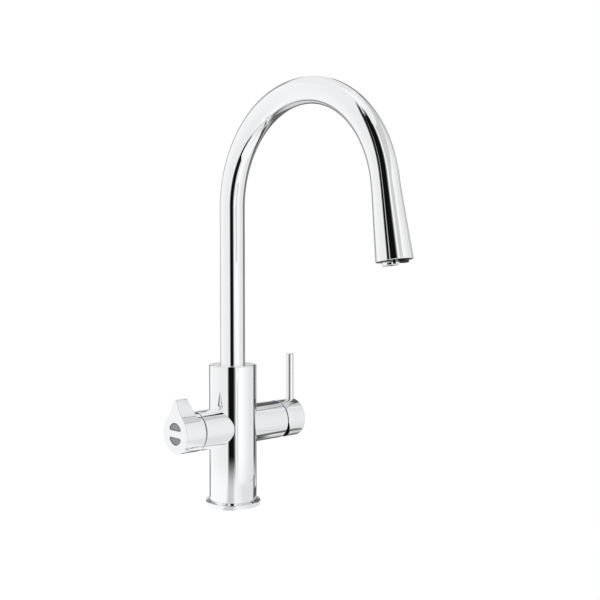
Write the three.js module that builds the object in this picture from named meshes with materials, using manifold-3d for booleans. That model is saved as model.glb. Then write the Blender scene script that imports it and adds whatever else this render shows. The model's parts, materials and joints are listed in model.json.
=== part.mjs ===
// Boiling water tap: a column with a gooseneck spout, a side mixer and a filtered-water selector.
// Units are millimetres. +Z is up, -Y is the spout's side, +X the mixer's and -X the selector's.
// The origin is the centre of the underside, where the tap stands on the worktop.
import * as THREE from "three";
import { mergeVertices } from "three/addons/utils/BufferGeometryUtils.js";
import Module from "manifold-3d";

const wasm = await Module();
wasm.setup();

// ---------------------------------------------------------------- driving dimensions

// Clearances
const seatGap = 0.3; // between fixed pieces that rest on each other
const runningGap = 0.3; // between pieces that turn or slide on each other

// Base flange, plug and seal
const flangeRadius = 28;
const flangeBoreRadius = 17;
const flangeFloor = 3; // thickness under the column
const flangeRimHeight = 4.4; // height at the outer edge
const flangeFootHeight = 6.2; // height at the column
const flangeEdge = 0.6; // rounding of the outer edge
const sealInnerRadius = 19.2;
const sealWidth = 3;
const sealThickness = 1.2;
const plugThickness = 9; // above the flange floor
const hoseSocketRadius = 3.9;
const hoseSocketDepth = 11;
const hoseCircleMargin = 3; // from a fixed disc's edge in to the circle of the four hose sockets
const studSocketRadius = 3.4;
const studSocketDepth = 10;
const studOffset = 12.3; // from the tap's axis, towards the back
const coreScrewOffset = 13;
const coreScrewRadius = 1.9;
const coreScrewHeadRadius = 3;
const coreScrewHead = 2.4;
const coreScrewLength = 22;

// Column
const columnRadius = 24;
const columnTop = 143.1;
const columnWall = 2.4;
const columnEdge = 1; // rounding of the top edge
const columnLip = 3.6; // thickness of the lip round the spout
const bulkheadHeight = 25.1; // solid top of the column, from its underside to the top

// Waterway core
const coreHeadroom = 2.5; // from the core's top to the bulkhead
const footPocketDepth = 16.5; // pocket for the spout's foot
const webHalfThickness = 15; // from the tap's axis to a cartridge pocket's floor
const waterwayRadius = 2.9;
const inletDrop = 5; // how far the inlets lie below the barrel's axis
const outletMargin = 4; // from a fixed disc's edge in to its outlet
const mixedRiserOffset = 8.8;

// Side barrels
const barrelRadius = 19.8;
const barrelWall = 1.9;
const barrelHeight = 80.35;
const barrelEdge = 0.5;
const mixerBarrelEnd = 58;
const selectorBarrelEnd = 47.4;
const markWidth = 2.5;
const markInset = 2.6; // from the barrel's end to the marks
const markDepth = 0.6;
const markStartDegrees = 1.5;
const markEndDegrees = 21.5;

// Cartridge parts that both barrels share
const gasketThickness = 1;
const portPlateThickness = 4;
const housingWall = 3;
const housingPortRadius = 2.6;
const fixedDiscClearance = 1; // from a fixed disc's edge to the housing's bore

// Mixer cartridge
const mixerFixedDisc = 4.5;
const mixerMovingDiscClearance = 4.1; // from its edge to the housing's bore, with the disc centred
const mixerMovingDisc = 4;
const sliderPlateClearance = 3.7;
const sliderPlate = 2.5;
const sliderBossHeight = 3;
const sliderBossHalfWidth = 5.7;
const sliderBossHalfHeight = 4.5;
const sliderRestOffset = 3.1; // the closed disc lies this far below the axis
const discTravel = 6.16;
const carrierSkirt = 10.7;
const carrierNeckRadius = 9.6;
const housingTop = 2.2;
const noseWall = 2.1;
const noseEnd = 60.5;
const nutThickness = 9.7;
const nutBoreGap = 0.3;

// Mixer lever
const tiltPivot = 52; // from the tap's axis
const tiltDegrees = 20;
const tiltPinRadius = 1.5;
const stemHalfWidth = 3.8;
const stemTailRadius = 1.7;
const stemBallRadius = 2.6;
const stemTailReach = 18; // from the pivot to the centre of the tail's ball
const stemSquareInset = 4.5; // square part's start, inboard of the pivot
const stemEnd = 77;
const capGap = 1;
const capEnd = 82.3;
const capWall = 1.9;
const capCavity = 7; // depth of the hollow, from the cap's inner edge
const capEdge = 0.8;
const capRelief = 0.1; // the cap's radius is this much under the barrel's
const wedgeStart = 0.8; // the slanted cut starts this far below the axis
const wedgeDegrees = 22.5;
const leverRadius = 3.7;
const leverPlace = 78.2;
const leverTop = 148.7;
const leverEdge = 0.9;
const leverStudRadius = 2.5;
const leverStudDepth = 9;
const grubRadius = 1.9;
const grubLength = 7;
const grubHexRadius = 1.1;
const grubHexDepth = 2;
const mixerGrubPlace = 70;

// Selector valve
const selectorFixedDisc = 4;
const selectorMovingDisc = 3.5;
const selectorMovingDiscClearance = 1.2;
const forkPlateClearance = 2.5;
const forkPlate = 2.5;
const spindleRadius = 6;
const spindleCollar = 10.5;
const spindleEnd = 58.2;
const selectorHousingTop = 3;
const selectorHousingLength = 15.1;
const selectorNutThickness = 7.7;

// Selector knob
const knobGap = 1;
const knobEnd = 71.5;
const knobWall = 2.4;
const knobFace = 2.5;
const knobEdge = 0.5;
const wingHeight = 33.4;
const wingTipRadius = 2.6;
const wingTipDegrees = 60; // from the top, where the rounded tip meets the flank
const wingTipPull = 8; // the flank's curve at the tip
const wingFootDegrees = 42; // from the top, where the flank meets the round body
const wingFootPull = 6; // the flank's curve at the round body
const wingBackPlace = 54.5; // where the wing's back meets the round body's top
const wingSlopeDegrees = 76.5; // slope of the wing's back
const hubStart = 50;
const hubLength = 8.7;
const switchPlate = 1.4;
const switchDomeRadius = 1.9;
const switchDomeHeight = 2;
const knobGrubPlace = 54;

// Push buttons
const buttonMargin = 9.1; // from the knob's round edge to the buttons
const buttonFlat = 3.6;
const buttonCorner = 1.6;
const buttonRecess = 0.9;
const buttonFlange = 1.4; // how far the flange stands out round the button
const buttonFlangeThickness = 1.8;
const buttonPlungerRadius = 1.5;
const buttonTravel = 1.5;
const switchSlack = 0.4; // left between plunger and switch when the button is in
const springRadius = 2.75;
const springWire = 0.6;
const springTurns = 4;

// Spout
const tubeRadius = 12.5;
const tubeWall = 1.5;
const tubeInsert = 21; // how deep the tube sits in the column
const archStart = 300.8; // height where the vertical leg ends
const archRadius = 104.1;
const archSweepDegrees = 170.9;
const spoutEndLength = 70;
const outletRadius = 16.15;
const outletWall = 1.05;
const outletEdge = 0.7;

// Spout foot and its bearings
const footLength = 19.5; // below the tube
const footSpigot = 15; // inside the tube
const footBoreRadius = 7.5;
const ringGrooveDepth = 1.5;
const ringSection = 0.65; // radius of the round section
const lowerRingPlace = 2.5; // centres, from the foot's lower end
const stopPlace = 7.1;
const upperRingPlace = 10.9;
const clipPlace = 14.4;
const stopGroove = 4;
const stopScrewRadius = 1.7;
const stopScrewInset = 0.8;
const swivelDegrees = 90;
const clipThickness = 1.4;
const clipWidth = 2.6;
const clipOpeningDegrees = 50;
const bushWall = 1.5;
const lowerBushLength = 8.6;
const upperBushLength = 8.6;

// Filtered-water tube
const filteredTubeRadius = 3;
const filteredTubeWall = 0.7;
const filteredSocketDepth = 5;
const filteredRingSection = 0.45;
const filteredRingPlace = 2.4; // below the pocket's floor

// Outlet
const plateThickness = 6;
const plateRecess = 0.8;
const aeratorRadius = 6.9;
const aeratorWall = 1.3;
const aeratorOffset = -5; // towards the column
const aeratorDrop = 3.3;
const aeratorSeat = 4.2; // from the rim up to the shell's top edge
const aeratorShoulder = 1.3;
const aeratorSeal = 1;
const aeratorInsertRecess = 0.9;
const aeratorHoleRadius = 0.75;
const aeratorHolePitch = 2.1;
const nozzleOffset = 10.3;
const nozzleRadius = 3.2;
const nozzleHalfLength = 1.5;
const nozzleDrop = 3.1;
const nozzleEdge = 0.8;
const nozzleFlange = 0.6;
const nozzleFlangeThickness = 1.5;
const nozzleBarbLength = 5;
const nozzleBoreRadius = 1.1;

// ---------------------------------------------------------------- finishes

function finish(color, roughness, metalness) {
  return () => new THREE.MeshStandardMaterial({ color, roughness, metalness });
}

const chrome = finish(0xe4e7ea, 0.06, 1);
const brass = finish(0xc9a864, 0.35, 1);
const steel = finish(0xb9bcc0, 0.3, 1);
const ceramic = finish(0xf1efe9, 0.25, 0);
const blackPlastic = finish(0x151617, 0.45, 0);
const palePlastic = finish(0xcfc4ad, 0.5, 0);
const greyPlastic = finish(0x8b9094, 0.4, 0);
const boardGreen = finish(0x2f5b3c, 0.5, 0);
const rubber = finish(0x1d1d1e, 0.8, 0);
const blueEnamel = finish(0x1c6fb8, 0.3, 0);
const redEnamel = finish(0xc22a2a, 0.3, 0);

// ---------------------------------------------------------------- shape helpers

const radians = THREE.MathUtils.degToRad;

// Sides of a round piece inside the tap, by its radius.
function sides(radius) {
  if (radius > 20) return 32;
  if (radius > 14) return 26;
  if (radius > 9) return 20;
  if (radius > 5) return 16;
  if (radius > 3) return 12;
  return 8;
}

// Sides of the round pieces that show.
const columnSides = 48;
const barrelSides = 44;
const spoutSides = 26;
const spoutBoreSides = 16;
const leverSides = 24;

// A closed solid from a geometry: shared vertices are merged and the faces are turned outwards.
function solid(geometry) {
  geometry.deleteAttribute("normal");
  geometry.deleteAttribute("uv");
  const merged = mergeVertices(geometry, 1e-4);
  const place = merged.attributes.position;
  const index = merged.index.array;
  const corners = [0, 1, 2].map(() => new THREE.Vector3());
  const triangles = [];
  let volume = 0;
  for (let i = 0; i < index.length; i += 3) {
    const [a, b, c] = index.slice(i, i + 3);
    if (a === b || b === c || c === a) continue;
    triangles.push([a, b, c]);
    corners.forEach((corner, k) => corner.fromBufferAttribute(place, [a, b, c][k]));
    volume += corners[0].dot(corners[1].clone().cross(corners[2])) / 6;
  }
  if (volume < 0) triangles.forEach((triangle) => triangle.reverse());
  return new wasm.Manifold(
    new wasm.Mesh({
      numProp: 3,
      vertProperties: Float32Array.from(place.array),
      triVerts: Uint32Array.from(triangles.flat()),
    }),
  );
}

// A geometry from a solid.
function geometryOf(body) {
  const mesh = body.getMesh();
  const geometry = new THREE.BufferGeometry();
  geometry.setAttribute("position", new THREE.BufferAttribute(mesh.vertProperties, 3));
  geometry.setIndex(new THREE.BufferAttribute(mesh.triVerts, 1));
  const flat = geometry.toNonIndexed();
  flat.computeVertexNormals();
  return flat;
}

function unionOf(...bodies) {
  return bodies.reduce((joined, body) => joined.add(body));
}

function cutBy(body, ...cutters) {
  return cutters.reduce((rest, cutter) => rest.subtract(cutter), body);
}

// A profile of [radius, height] points turned about +Z.
function turned(profile, count = sides(Math.max(...profile.map(([r]) => r)))) {
  const points = profile.map(([r, z]) => new THREE.Vector2(r, z));
  return solid(new THREE.LatheGeometry(points, count).rotateX(Math.PI / 2));
}

function disc(radius, low, high, count) {
  return turned([[0, low], [radius, low], [radius, high], [0, high]], count);
}

function ring(inner, outer, low, high, count) {
  return turned([[inner, low], [outer, low], [outer, high], [inner, high], [inner, low]], count);
}

// A ring with a round section.
function roundRing(radius, section, height) {
  const steps = 6;
  const profile = Array.from({ length: steps + 1 }, (_, i) => {
    const angle = (i % steps) * ((2 * Math.PI) / steps);
    return [radius + section * Math.cos(angle), height + section * Math.sin(angle)];
  });
  return turned(profile, sides(radius));
}

// Points of a quarter-round edge from [outer, z - edge] to [outer - edge, z].
function roundedEdge(outer, z, edge, steps = 3) {
  return Array.from({ length: steps + 1 }, (_, i) => {
    const angle = (Math.PI / 2) * (i / steps);
    return [outer - edge + edge * Math.cos(angle), z - edge + edge * Math.sin(angle)];
  });
}

function block(x0, x1, y0, y1, z0, z1) {
  const box = new THREE.BoxGeometry(x1 - x0, y1 - y0, z1 - z0);
  return solid(box.translate((x0 + x1) / 2, (y0 + y1) / 2, (z0 + z1) / 2));
}

// An outline in X and Y, drawn out along +Z.
function prism(shape, low, high, curveSegments = 4) {
  const options = { depth: high - low, bevelEnabled: false, curveSegments };
  return solid(new THREE.ExtrudeGeometry(shape, options).translate(0, 0, low));
}

// Points of a circle in the plane of X and Y.
function circle(x, y, radius, count) {
  return Array.from({ length: count }, (_, i) => {
    const angle = (2 * Math.PI * i) / count;
    return new THREE.Vector2(x + radius * Math.cos(angle), y + radius * Math.sin(angle));
  });
}

// Part of a ring between two angles, drawn out along +Z. Angles are in degrees from +X.
function ringSector(inner, outer, startDegrees, endDegrees, low, high, steps = 4) {
  const shape = new THREE.Shape();
  shape.absarc(0, 0, outer, radians(startDegrees), radians(endDegrees), false);
  shape.absarc(0, 0, inner, radians(endDegrees), radians(startDegrees), true);
  shape.closePath();
  return prism(shape, low, high, steps);
}

// A stadium outline: a straight of twice halfLength along X with round ends.
function stadium(halfLength, radius) {
  const shape = new THREE.Shape();
  shape.absarc(halfLength, 0, radius, -Math.PI / 2, Math.PI / 2, false);
  shape.absarc(-halfLength, 0, radius, Math.PI / 2, (3 * Math.PI) / 2, false);
  shape.closePath();
  return shape;
}

function moved(body, x, y, z) {
  return body.translate([x, y, z]);
}

// A solid that was turned about +Z, laid along another direction from a point.
function along(body, direction, x, y, z) {
  const turn = new THREE.Quaternion().setFromUnitVectors(
    new THREE.Vector3(0, 0, 1),
    new THREE.Vector3(...direction),
  );
  const matrix = new THREE.Matrix4().makeRotationFromQuaternion(turn).setPosition(x, y, z);
  return body.transform(matrix.elements);
}

// A set screw along +Z with its tip at 0 and a hex socket in its outer end.
function grubScrew(radius, length, hexRadius, hexDepth) {
  const tip = radius * 0.4;
  const profile = [[0, 0], [radius - tip, 0], [radius, tip], [radius, length], [0, length]];
  return cutBy(turned(profile), disc(hexRadius, length - hexDepth, length + 1, 6));
}

// A curve through chosen stations, which a tube follows without any other steps.
class StationCurve extends THREE.Curve {
  constructor(stations) {
    super();
    this.stations = stations;
    this.steps = stations.length - 1;
  }

  getPoint(t, target = new THREE.Vector3()) {
    const at = Math.min(Math.round(t * this.steps), this.steps);
    return target.copy(this.stations[at]);
  }

  getPointAt(u, target) {
    return this.getPoint(u, target);
  }

  getTangentAt(u, target = new THREE.Vector3()) {
    const at = Math.min(Math.round(u * this.steps), this.steps);
    const last = this.stations[Math.max(at - 1, 0)];
    const next = this.stations[Math.min(at + 1, this.steps)];
    const before = this.stations[at].clone().sub(last).normalize();
    const after = next.clone().sub(this.stations[at]).normalize();
    return target.copy(before).add(after).normalize();
  }
}

// The geometry of a round bar along stations.
function barAlong(stations, radius, count) {
  const curve = new StationCurve(stations);
  return new THREE.ExtrudeGeometry(new THREE.Shape(circle(0, 0, radius, count)), {
    steps: curve.steps,
    extrudePath: curve,
    bevelEnabled: false,
  });
}

// ---------------------------------------------------------------- derived places

const columnBore = columnRadius - columnWall;
const columnFoot = flangeFloor + seatGap;
const bulkheadBottom = columnTop - bulkheadHeight;
const tubeHole = tubeRadius + runningGap;
const lipBottom = columnTop - columnLip;
const bushPocket = tubeHole + bushWall + 2 * seatGap;
const plugTop = columnFoot + plugThickness;
const coreBottom = plugTop + seatGap;
const coreTop = bulkheadBottom - coreHeadroom;
const coreRadius = columnBore - seatGap;
const pocketFloor = coreTop - footPocketDepth;
const barrelBore = barrelRadius - barrelWall;
const fitRadius = barrelBore - 0.4; // outer radius of what slides into a barrel

const gasketStart = webHalfThickness + seatGap;
const portPlateStart = gasketStart + gasketThickness + seatGap;
const fixedDiscStart = portPlateStart + portPlateThickness + seatGap;
const housingBore = fitRadius - housingWall;
const fixedDiscRadius = housingBore - fixedDiscClearance;
const hoseCircleRadius = fixedDiscRadius - hoseCircleMargin;
const outletRise = fixedDiscRadius - outletMargin; // above the barrel's axis
const mixerMovingDiscRadius = housingBore - mixerMovingDiscClearance;
const sliderPlateRadius = housingBore - sliderPlateClearance;
const selectorMovingDiscRadius = housingBore - selectorMovingDiscClearance;
const forkPlateRadius = housingBore - forkPlateClearance;

const mixerMovingStart = fixedDiscStart + mixerFixedDisc + runningGap;
const sliderStart = mixerMovingStart + mixerMovingDisc + seatGap;
const sliderBossStart = sliderStart + sliderPlate;
const sliderEnd = sliderBossStart + sliderBossHeight;
const carrierStart = sliderBossStart + runningGap;
const carrierShoulder = carrierStart + carrierSkirt;
const housingTopStart = carrierShoulder + runningGap;
const housingShoulder = housingTopStart + housingTop;
const noseBore = carrierNeckRadius + runningGap;
const noseRadius = noseBore + noseWall;
const nutStart = housingShoulder + seatGap;
const carrierEnd = noseEnd - 3.5;
const ballPlace = tiltPivot - stemTailReach;
const capStart = mixerBarrelEnd + capGap;
const capRadius = barrelRadius - capRelief;
const squareHole = stemHalfWidth + seatGap;

const selectorMovingStart = fixedDiscStart + selectorFixedDisc + runningGap;
const forkStart = selectorMovingStart + selectorMovingDisc + seatGap;
const forkEnd = forkStart + forkPlate;
const collarEnd = forkEnd + spindleCollar;
const selectorHousingEnd = fixedDiscStart + selectorHousingLength;
const selectorNutStart = selectorHousingEnd + seatGap;
const knobStart = selectorBarrelEnd + knobGap;
const knobCavity = barrelRadius - knobWall;
const knobFaceBack = knobEnd - knobFace;
const hubEnd = hubStart + hubLength;
const switchPlateStart = hubEnd + seatGap;
const switchPlateEnd = switchPlateStart + switchPlate;
const buttonFlangeFront = knobFaceBack - runningGap;
const buttonFlangeBack = buttonFlangeFront - buttonFlangeThickness;
const domeTop = switchPlateEnd + switchDomeHeight;
const plungerEnd = domeTop + buttonTravel + switchSlack;
const buttonRadius = barrelRadius - buttonMargin;
const buttonCentre = (buttonRadius + buttonFlat) / 2;
const wingFoot = barrelRadius * Math.cos(radians(wingFootDegrees));

const ringGroove = 2 * ringSection + 2 * seatGap;
const filteredGrooveWidth = 2 * filteredRingSection + 2 * seatGap;

const tubeBottom = columnTop - tubeInsert;
const tubeBore = tubeRadius - tubeWall;
const footTop = tubeBottom - seatGap;
const footBottom = footTop - footLength;
const footPocket = tubeRadius + runningGap;
const grooveRadius = tubeRadius - ringGrooveDepth;
const lowerBushStart = bulkheadBottom + seatGap;
const lowerBushEnd = lowerBushStart + lowerBushLength;
const upperBushEnd = lipBottom - seatGap;
const upperBushStart = upperBushEnd - upperBushLength;
const filteredSocketBottom = pocketFloor - filteredSocketDepth;

const archSweep = radians(archSweepDegrees);
const outletDirection = new THREE.Vector3(0, -Math.sin(archSweep), Math.cos(archSweep));
const outletForward = new THREE.Vector3(0, Math.cos(archSweep), Math.sin(archSweep));
const archEnd = archPoint(archSweep);
const outletTip = archEnd.clone().addScaledVector(outletDirection, spoutEndLength);
const flareSlope = (outletRadius - tubeRadius) / spoutEndLength;
const outletBore = outletRadius - outletWall;
const plateLow = -plateRecess;
const plateHigh = plateLow - plateThickness;

function archPoint(angle) {
  return new THREE.Vector3(
    0,
    -archRadius * (1 - Math.cos(angle)),
    archStart + archRadius * Math.sin(angle),
  );
}

// ---------------------------------------------------------------- the object's groups

const tap = new THREE.Group();
const mixer = new THREE.Group();
const selector = new THREE.Group();
const outlet = new THREE.Group();
tap.add(mixer, selector, outlet);

// In a side group +Y is up and +Z points away from the column.
function sideFrame(outward) {
  const height = new THREE.Vector3(0, 0, 1);
  const away = new THREE.Vector3(outward, 0, 0);
  const across = new THREE.Vector3().crossVectors(height, away);
  return new THREE.Matrix4().makeBasis(across, height, away).setPosition(0, 0, barrelHeight);
}

const mixerFrame = sideFrame(1);
const selectorFrame = sideFrame(-1);
mixerFrame.decompose(mixer.position, mixer.quaternion, mixer.scale);
selectorFrame.decompose(selector.position, selector.quaternion, selector.scale);

// In the outlet group +Z points downstream, +Y to the front and +X to the mixer's side.
const outletFrame = new THREE.Matrix4().makeBasis(
  new THREE.Vector3(1, 0, 0),
  outletForward,
  outletDirection,
);
outletFrame.setPosition(outletTip);
outletFrame.decompose(outlet.position, outlet.quaternion, outlet.scale);

function addPiece(group, name, material, body) {
  const mesh = new THREE.Mesh(geometryOf(body), material());
  mesh.name = name;
  group.add(mesh);
}

// ---------------------------------------------------------------- base

const socketAngles = [45, 135, 225, 315];

function hoseSocket(degrees, low, high) {
  const x = hoseCircleRadius * Math.cos(radians(degrees));
  const y = hoseCircleRadius * Math.sin(radians(degrees));
  return moved(disc(hoseSocketRadius, low, high), x, y, 0);
}

function baseFlange() {
  const lip = columnRadius + seatGap;
  const body = turned(
    [
      [flangeBoreRadius, 0],
      [flangeRadius, 0],
      ...roundedEdge(flangeRadius, flangeRimHeight, flangeEdge, 2),
      [lip, flangeFootHeight],
      [lip, flangeFloor],
      [flangeBoreRadius, flangeFloor],
      [flangeBoreRadius, 0],
    ],
    columnSides,
  );
  const groove = ring(
    sealInnerRadius - seatGap,
    sealInnerRadius + sealWidth + seatGap,
    -1,
    sealThickness + seatGap,
  );
  return cutBy(body, groove);
}

function basePlug() {
  const spigot = flangeBoreRadius - seatGap;
  const body = turned([
    [0, 0],
    [spigot, 0],
    [spigot, columnFoot],
    [coreRadius, columnFoot],
    [coreRadius, plugTop],
    [0, plugTop],
  ]);
  const sockets = socketAngles.map((angle) => hoseSocket(angle, -1, hoseSocketDepth));
  const ports = socketAngles.map((angle) =>
    moved(
      disc(waterwayRadius, hoseSocketDepth - 1, plugTop + 1),
      hoseCircleRadius * Math.cos(radians(angle)),
      hoseCircleRadius * Math.sin(radians(angle)),
      0,
    ),
  );
  const stud = moved(disc(studSocketRadius, -1, studSocketDepth), 0, studOffset, 0);
  const screwHoles = [-1, 1].flatMap((side) => [
    moved(disc(coreScrewRadius + seatGap, -1, plugTop + 1), side * coreScrewOffset, 0, 0),
    moved(
      disc(coreScrewHeadRadius + seatGap, -1, coreScrewHead + 2 * seatGap),
      side * coreScrewOffset,
      0,
      0,
    ),
  ]);
  return cutBy(body, ...sockets, ...ports, stud, ...screwHoles);
}

function coreScrew(side) {
  const low = seatGap;
  const shoulder = low + coreScrewHead;
  const body = turned([
    [0, low],
    [coreScrewHeadRadius, low],
    [coreScrewHeadRadius, shoulder],
    [coreScrewRadius, shoulder],
    [coreScrewRadius, shoulder + coreScrewLength],
    [0, shoulder + coreScrewLength],
  ]);
  const hex = disc(coreScrewRadius * 0.7, low - 1, low + coreScrewHead / 2, 6);
  return moved(cutBy(body, hex), side * coreScrewOffset, 0, 0);
}

addPiece(tap, "base_flange", chrome, baseFlange());
addPiece(
  tap,
  "base_seal",
  rubber,
  ring(sealInnerRadius, sealInnerRadius + sealWidth, 0, sealThickness),
);
addPiece(tap, "base_plug", brass, basePlug());
addPiece(tap, "core_screw_left", steel, coreScrew(-1));
addPiece(tap, "core_screw_right", steel, coreScrew(1));

// ---------------------------------------------------------------- body and waterway core

// The outer form of a side barrel, in its own frame.
function barrelOutside(end) {
  const edge = roundedEdge(barrelRadius, end, barrelEdge, 2);
  return turned([[0, 0], [barrelRadius, 0], ...edge, [0, end]], barrelSides);
}

// A mark's angles run from the top towards the front (-1) or the back (+1) of the mixer barrel.
function markSector(side, inner, outer, low, high, slack) {
  const centre = 90 - side * ((markStartDegrees + markEndDegrees) / 2);
  const half = (markEndDegrees - markStartDegrees) / 2 + slack;
  return ringSector(inner, outer, centre - half, centre + half, low, high, 2);
}

const markEnd = mixerBarrelEnd - markInset;
const markStart = markEnd - markWidth;
const markSlack = THREE.MathUtils.radToDeg(seatGap / barrelRadius);

function markGroove(side) {
  return markSector(
    side,
    barrelRadius - markDepth,
    barrelRadius + 1,
    markStart - seatGap,
    markEnd + seatGap,
    markSlack,
  );
}

function markInlay(side) {
  const inner = barrelRadius - markDepth + seatGap;
  return markSector(side, inner, barrelRadius, markStart, markEnd, 0);
}

function tapBody() {
  const outside = turned(
    [
      [0, columnFoot],
      [columnRadius, columnFoot],
      ...roundedEdge(columnRadius, columnTop, columnEdge, 2),
      [0, columnTop],
    ],
    columnSides,
  );
  const joined = unionOf(
    outside,
    barrelOutside(mixerBarrelEnd).transform(mixerFrame.elements),
    barrelOutside(selectorBarrelEnd).transform(selectorFrame.elements),
  );
  const bore = disc(columnBore, columnFoot - 1, bulkheadBottom);
  const pocket = disc(bushPocket, bulkheadBottom - 1, lipBottom);
  const hole = disc(tubeHole, lipBottom - 1, columnTop + 1, spoutSides);
  const mixerBore = disc(barrelBore, 0, mixerBarrelEnd + 1).transform(mixerFrame.elements);
  const selectorBore = disc(barrelBore, 0, selectorBarrelEnd + 1).transform(
    selectorFrame.elements,
  );
  const grooves = [-1, 1].map((side) => markGroove(side).transform(mixerFrame.elements));
  return cutBy(joined, bore, pocket, hole, mixerBore, selectorBore, ...grooves, stopHole());
}

const stopHeight = footBottom + stopPlace;
const stopTip = grooveRadius + runningGap;

// The hole for the swivel stop, from the foot's pocket through to the column's back.
function stopHole() {
  const hole = disc(stopScrewRadius + seatGap, 0, columnRadius + 1);
  return along(hole, [0, 1, 0], 0, 0, stopHeight);
}

// One passage of the core: up from a hose socket, then out to a cartridge pocket.
function inletPassage(side, depthSide) {
  const offset = hoseCircleRadius * Math.SQRT1_2;
  const height = barrelHeight - inletDrop;
  const riser = disc(waterwayRadius, coreBottom - 1, height);
  const run = disc(waterwayRadius, 0, columnRadius - offset);
  return unionOf(
    moved(riser, side * offset, depthSide * offset, 0),
    along(run, [side, 0, 0], side * (offset - waterwayRadius), depthSide * offset, height),
  );
}

function waterwayCore() {
  const body = disc(coreRadius, coreBottom, coreTop);
  const footWell = disc(footPocket, pocketFloor, coreTop + 1);
  const filteredSocket = disc(
    filteredTubeRadius + runningGap,
    filteredSocketBottom,
    pocketFloor + 1,
  );
  const filteredGroove = ring(
    filteredTubeRadius,
    filteredTubeRadius + filteredGrooveWidth,
    pocketFloor - filteredRingPlace - filteredGrooveWidth / 2,
    pocketFloor - filteredRingPlace + filteredGrooveWidth / 2,
  );
  const outletHeight = barrelHeight + outletRise;
  const narrow = filteredTubeRadius - filteredTubeWall;
  const filteredRiser = disc(narrow, outletHeight - narrow, pocketFloor);
  const filteredRun = along(disc(narrow, 0, columnRadius), [-1, 0, 0], 0, 0, outletHeight);
  const mixedRiser = moved(
    disc(waterwayRadius, outletHeight, pocketFloor + 1),
    mixedRiserOffset,
    0,
    0,
  );
  const mixedRun = along(
    disc(waterwayRadius, 0, columnRadius),
    [1, 0, 0],
    mixedRiserOffset - waterwayRadius,
    0,
    outletHeight,
  );
  const pockets = [mixerFrame, selectorFrame].map((frame) =>
    disc(barrelBore, webHalfThickness, columnRadius + 1).transform(frame.elements),
  );
  const passages = [-1, 1].flatMap((side) => [inletPassage(side, -1), inletPassage(side, 1)]);
  const screwHoles = [-1, 1].map((side) =>
    moved(
      disc(coreScrewRadius + seatGap, coreBottom - 1, coreScrewLength + coreScrewHead + 1.5),
      side * coreScrewOffset,
      0,
      0,
    ),
  );
  return cutBy(
    body,
    footWell,
    filteredSocket,
    filteredGroove,
    filteredRiser,
    filteredRun,
    mixedRiser,
    mixedRun,
    ...pockets,
    ...passages,
    ...screwHoles,
    stopHole(),
  );
}

addPiece(tap, "tap_body", chrome, tapBody());
addPiece(tap, "waterway_core", brass, waterwayCore());
addPiece(mixer, "cold_mark", blueEnamel, markInlay(-1));
addPiece(mixer, "hot_mark", redEnamel, markInlay(1));

// ---------------------------------------------------------------- pieces that both cartridges have

// Two inlets below the axis and one outlet above it, through a plate.
function portHoles(radius, low, high) {
  const across = hoseCircleRadius * Math.SQRT1_2;
  return [
    moved(disc(radius, low, high), across, -inletDrop, 0),
    moved(disc(radius, low, high), -across, -inletDrop, 0),
    moved(disc(radius, low, high), 0, outletRise, 0),
  ];
}

function portedDisc(radius, low, thickness) {
  const holes = portHoles(housingPortRadius, low - 1, low + thickness + 1);
  return cutBy(disc(radius, low, low + thickness), ...holes);
}

// A threaded ring with four spanner slots in its outer face.
function spannerNut(bore, low, thickness) {
  const slotHalf = 1.5;
  const slotDepth = 2;
  const body = ring(bore, fitRadius, low, low + thickness);
  const slots = [0, 90].map((degrees) =>
    block(
      -fitRadius - 1,
      fitRadius + 1,
      -slotHalf,
      slotHalf,
      low + thickness - slotDepth,
      low + thickness + 1,
    ).rotate([0, 0, degrees]),
  );
  return cutBy(body, ...slots);
}

for (const [group, side] of [[mixer, "mixer"], [selector, "selector"]]) {
  const plateName = side === "mixer" ? "mixer_cartridge_base" : "selector_valve_base";
  addPiece(
    group,
    side + "_port_gasket",
    rubber,
    portedDisc(fitRadius, gasketStart, gasketThickness),
  );
  addPiece(
    group,
    plateName,
    blackPlastic,
    portedDisc(fitRadius, portPlateStart, portPlateThickness),
  );
}

// ---------------------------------------------------------------- mixer cartridge

function mixerHousing() {
  return turned([
    [housingBore, fixedDiscStart],
    [fitRadius, fixedDiscStart],
    [fitRadius, housingShoulder],
    [noseRadius, housingShoulder],
    [noseRadius, noseEnd],
    [noseBore, noseEnd],
    [noseBore, housingTopStart],
    [housingBore, housingTopStart],
    [housingBore, fixedDiscStart],
  ]);
}

function mixerMovingDiscBody() {
  const body = disc(
    mixerMovingDiscRadius,
    mixerMovingStart,
    mixerMovingStart + mixerMovingDisc,
    32,
  );
  const chamber = disc(
    mixerMovingDiscRadius - 2.4,
    mixerMovingStart - 1,
    mixerMovingStart + mixerMovingDisc / 2,
    24,
  );
  return moved(cutBy(body, chamber), 0, -sliderRestOffset, 0);
}

function mixerSlider() {
  const pocket = stemBallRadius + runningGap;
  const plate = moved(disc(sliderPlateRadius, sliderStart, sliderBossStart), 0, -sliderRestOffset, 0);
  const boss = block(
    -sliderBossHalfWidth,
    sliderBossHalfWidth,
    -sliderBossHalfHeight,
    sliderBossHalfHeight,
    sliderBossStart - 0.5,
    sliderEnd,
  );
  const socket = block(
    -pocket,
    pocket,
    -pocket,
    pocket,
    ballPlace - pocket,
    sliderEnd + 1,
  );
  return cutBy(unionOf(plate, boss), socket);
}

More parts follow.
